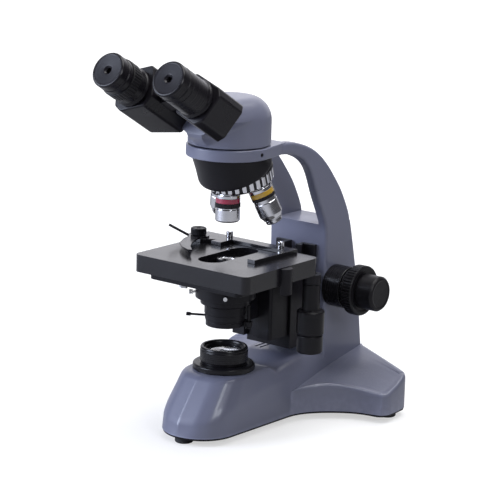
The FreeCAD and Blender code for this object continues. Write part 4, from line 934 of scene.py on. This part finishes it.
for label, side in SIDES:
    held = {"at": FOCUS_AT, "axis": (side, 0, 0)}
    turned("coarse_grip_" + label, coarse, 0.5, "coarse_drive", "black_plastic", KNOB_BLACK,
           ["coarse_knob_" + label], turns=384, flutes=[(61.4, 71.1, 48, 0.9, 2)], **held)
    turned("fine_grip_" + label, fine, 0.5, "fine_drive", "black_plastic", KNOB_BLACK,
           ["fine_knob_" + label], turns=224, flutes=[(75.5, 88.5, 56, 0.32, 2)], **held)
dress(STEEL, "coarse_sleeve", "fine_shaft")
dress(BRASS, "focus_rack")


# ---- Stage ----
# A fixed lower plate on the carrier and a rimmed moving plate above it, both satin black. The knobs
# hang from the moving plate's right rear corner. A spring finger holds the slide in a bent holder.
STAGE_BLACK = coating("stage_enamel", (0.0065, 0.0060, 0.0078), (0.0090, 0.0084, 0.0105), 0.24, 1300.0, 0.05,
                      numbers=[("IOR", 1.34), ("Coat Weight", 0.5), ("Coat IOR", 1.3),
                               ("Coat Roughness", 0.16)], dust=0.02)
softened("stage_carrier", 1.0, BLACK_ENAMEL)
softened("stage_base_plate", 0.8, BLACK_ENAMEL)
softened("stage_top_plate", 0.7, STAGE_BLACK, steps=3)
softened("stage_drive", 0.5, BLACK_ENAMEL)
softened("slide_holder", 0.35, STAGE_BLACK)
softened("spring_finger", 0.25, STAGE_BLACK)
HOLDER_TOP = 176.2
screw = [(0, HOLDER_TOP), (3.1, HOLDER_TOP), (3.3, 176.5), (3.3, 181.7), (3.0, 182.2), (1.6, 182.2),
         (1.4, 181.6), (0, 181.6)]
screws = [lathe("screw", screw, 0.15, (x, 50, 0), turns=128, flutes=[(176.7, 181.5, 16, 0.4, 2)])
          for x in (-36, 27)]
fit(joined("holder_thumbscrews", screws), "slide_carriage", CHROME, ["holder_screws"])
turned("finger_cap", [(0, HOLDER_TOP), (3, HOLDER_TOP), (3, 178.3), (7.3, 178.3), (7.8, 178.9), (7.8, 184.2),
                      (7.2, 185.2), (6.2, 185.2), (5.6, 184.7), (2.2, 184.7), (1.8, 184.0), (0, 184.0)],
       0.25, "slide_carriage", "black_plastic", KNOB_BLACK, ["finger_knob"], at=(-60, 31, 0), turns=240,
       flutes=[(179.2, 184.1, 30, 0.5, 2)])
DRIVE_AT = (61, 56, 0)
turned("y_grip", [(2.55, 95.5), (12.8, 95.5), (13.5, 96.3), (13.5, 117.8), (12.6, 119), (8.8, 119.1),
                  (8.6, 120), (8.6, 145), (8.1, 145.5), (5, 145.5), (5, 154.5), (2.55, 154.5),
                  (2.55, 95.5)], 0.4, "y_drive", "black_plastic", KNOB_BLACK, ["y_knob"], at=DRIVE_AT,
       turns=288, flutes=[(97, 117.2, 36, 0.5, 2)])
turned("x_grip", [(0, 77), (11.6, 77), (12.7, 78.2), (12.7, 93.9), (12.0, 95), (2.5, 95), (2.5, 158),
                  (0, 158)], 0.4, "x_drive", "black_plastic", KNOB_BLACK, ["x_knob"], at=DRIVE_AT,
       turns=288, flutes=[(79, 93.4, 36, 0.5, 2)])


# ---- Condenser ----
# A stepped black barrel with the condenser lens on top sits in a ring that slides on the carrier's
# front. Under it are the iris ring with its lever and a filter tray; bright screws clamp and centre it.
for name, width in (("condenser_carrier", 0.6), ("filter_holder", 0.3), ("condenser_body", 0.4),
                    ("iris_ring", 0.3)):
    softened(name, width, BLACK_ENAMEL)
CLAMP_STEEL = coating("clamp_steel", (0.55, 0.55, 0.57), (0.66, 0.66, 0.67), 0.22, 2400.0, 0.1,
                      numbers=[("Metallic", 1.0)])
softened("condenser_screws", 0.2, CLAMP_STEEL)
turned("iris_skirt", square_ring(15.2, 18.9, 109.3, 111.15), 0.2, "condenser", "black_paint", BLACK_ENAMEL)
tip = [(8.2, 157.5), (10.8, 157.5), (10.8, 161.2), (9.3, 161.6), (9.3, 169.2), (8.8, 169.7), (8.2, 169.2),
       (8.2, 157.5)]
turned("condenser_tip", tip, 0.2, "condenser", "black_paint", BLACK_ENAMEL)
turned("condenser_glass", crowned(8.1, 160, 170.4, 1.2, 10), 0.01, "condenser", "optical_glass", GLASS,
       ["condenser_lens"], turns=72, steps=2)
turned("condenser_grip", [(0, 0), (3, 0), (3, 33), (9.9, 33), (10.5, 33.6), (10.5, 44.3), (9.8, 45),
                          (7.6, 45), (7.2, 44.5), (0, 44.5)], 0.3, "condenser_drive", "black_plastic",
       KNOB_BLACK, ["condenser_knob"], at=(0, 52, 124), axis=(-1, 0, 0), turns=224,
       flutes=[(34.2, 44.1, 28, 0.5, 2)])


# ---- Floor, light and camera ----
# A plain pale sweep, soft panels above, in front and to each side, and a long lens a little above
# the stage, looking at the right front corner.
FLOOR_HALF = 30.0
floor_mesh = bpy.data.meshes.new("floor")
corners = [(x * FLOOR_HALF, y * FLOOR_HALF, 0) for x, y in ((-1, -1), (1, -1), (1, 1), (-1, 1))]
floor_mesh.from_pydata(corners, [], [(0, 1, 2, 3)])
floor = bpy.data.objects.new("floor", floor_mesh)
bpy.context.scene.collection.objects.link(floor)
paper = bpy.data.materials.new("pale_paper")
paper.use_nodes = True
paper_shader = paper.node_tree.nodes["Principled BSDF"]
paper_shader.inputs["Base Color"].default_value = (0.42, 0.42, 0.425, 1)
paper_shader.inputs["Roughness"].default_value = 0.9
paper_shader.inputs["Emission Strength"].default_value = 1.0
# only the camera sees the paper glow: it grows whiter away from the object
sheet = paper.node_tree
from_middle = node(sheet, "ShaderNodeTexCoord").outputs["Object"]
away = node(sheet, "ShaderNodeVectorMath", [(0, from_middle)], operation="LENGTH").outputs["Value"]
watched = node(sheet, "ShaderNodeLightPath").outputs["Is Camera Ray"]
lift = sum_of(sheet, "MULTIPLY", ranged(sheet, away, 0.15, 1.4, 0.56, 1.0), watched)
sheet.links.new(lift, paper_shader.inputs["Emission Color"])
floor.data.materials.append(paper)

world = bpy.data.worlds.new("studio")
bpy.context.scene.world = world
world.use_nodes = True
sky = world.node_tree
# white paper behind the object, a dim room on the camera's side, and white wherever the camera looks
BEHIND = (-0.61, 0.79, 0.0)
looked = node(sky, "ShaderNodeTexCoord").outputs["Generated"]
facing = node(sky, "ShaderNodeVectorMath", [(0, looked), (1, BEHIND)], operation="DOT_PRODUCT")
paper_glow = ranged(sky, facing.outputs["Value"], 0.5, 0.96, 0.10, 1.2, interpolation_type="SMOOTHSTEP")
seen = node(sky, "ShaderNodeLightPath").outputs["Is Camera Ray"]
strength = sum_of(sky, "MAXIMUM", paper_glow, seen)
sky.nodes["Background"].inputs["Color"].default_value = (0.945, 0.94, 1.0, 1)
sky.links.new(strength, sky.nodes["Background"].inputs["Strength"])


def panel(name, place, target, width, height, power, colour=(1, 1, 1)):
    """Soft rectangular light at a place, turned to face a target, both in metres."""
    lamp = bpy.data.lights.new(name, "AREA")
    lamp.shape = "RECTANGLE"
    lamp.size, lamp.size_y, lamp.energy, lamp.color = width, height, power, colour
    rig = bpy.data.objects.new(name, lamp)
    bpy.context.scene.collection.objects.link(rig)
    rig.location = place
    rig.rotation_mode = "QUATERNION"
    rig.rotation_quaternion = (Vector(target) - Vector(place)).to_track_quat("-Z", "Y")
    return rig


AIM = (0.0, 0.0, 0.17)
panel("top_panel", (0.2, 0.2, 1.6), AIM, 1.3, 1.3, 27)
panel("left_panel", (-1.1, -1.4, 0.75), AIM, 1.0, 1.2, 46, (0.75, 0.82, 1.0))
panel("right_panel", (1.7, -0.7, 1.2), AIM, 0.5, 0.9, 12, (0.92, 0.95, 1.0))

camera = bpy.data.objects.new("camera", bpy.data.cameras.new("camera"))
bpy.context.scene.collection.objects.link(camera)
bpy.context.scene.camera = camera
camera.data.sensor_width = 36.0
camera.data.lens = 151.33
camera.data.clip_start, camera.data.clip_end = 0.05, 100.0
right = Vector((0.78829, 0.61469, 0.02731))
up = Vector((-0.16230, 0.16490, 0.97287))
ahead = Vector((-0.59351, 0.77134, -0.22975))
camera.rotation_mode = "QUATERNION"
camera.rotation_quaternion = Matrix((right, up, -ahead)).transposed().to_quaternion()
camera.location = (1.20865, -1.55617, 0.63933)
bpy.context.scene.view_settings.view_transform = "Standard"
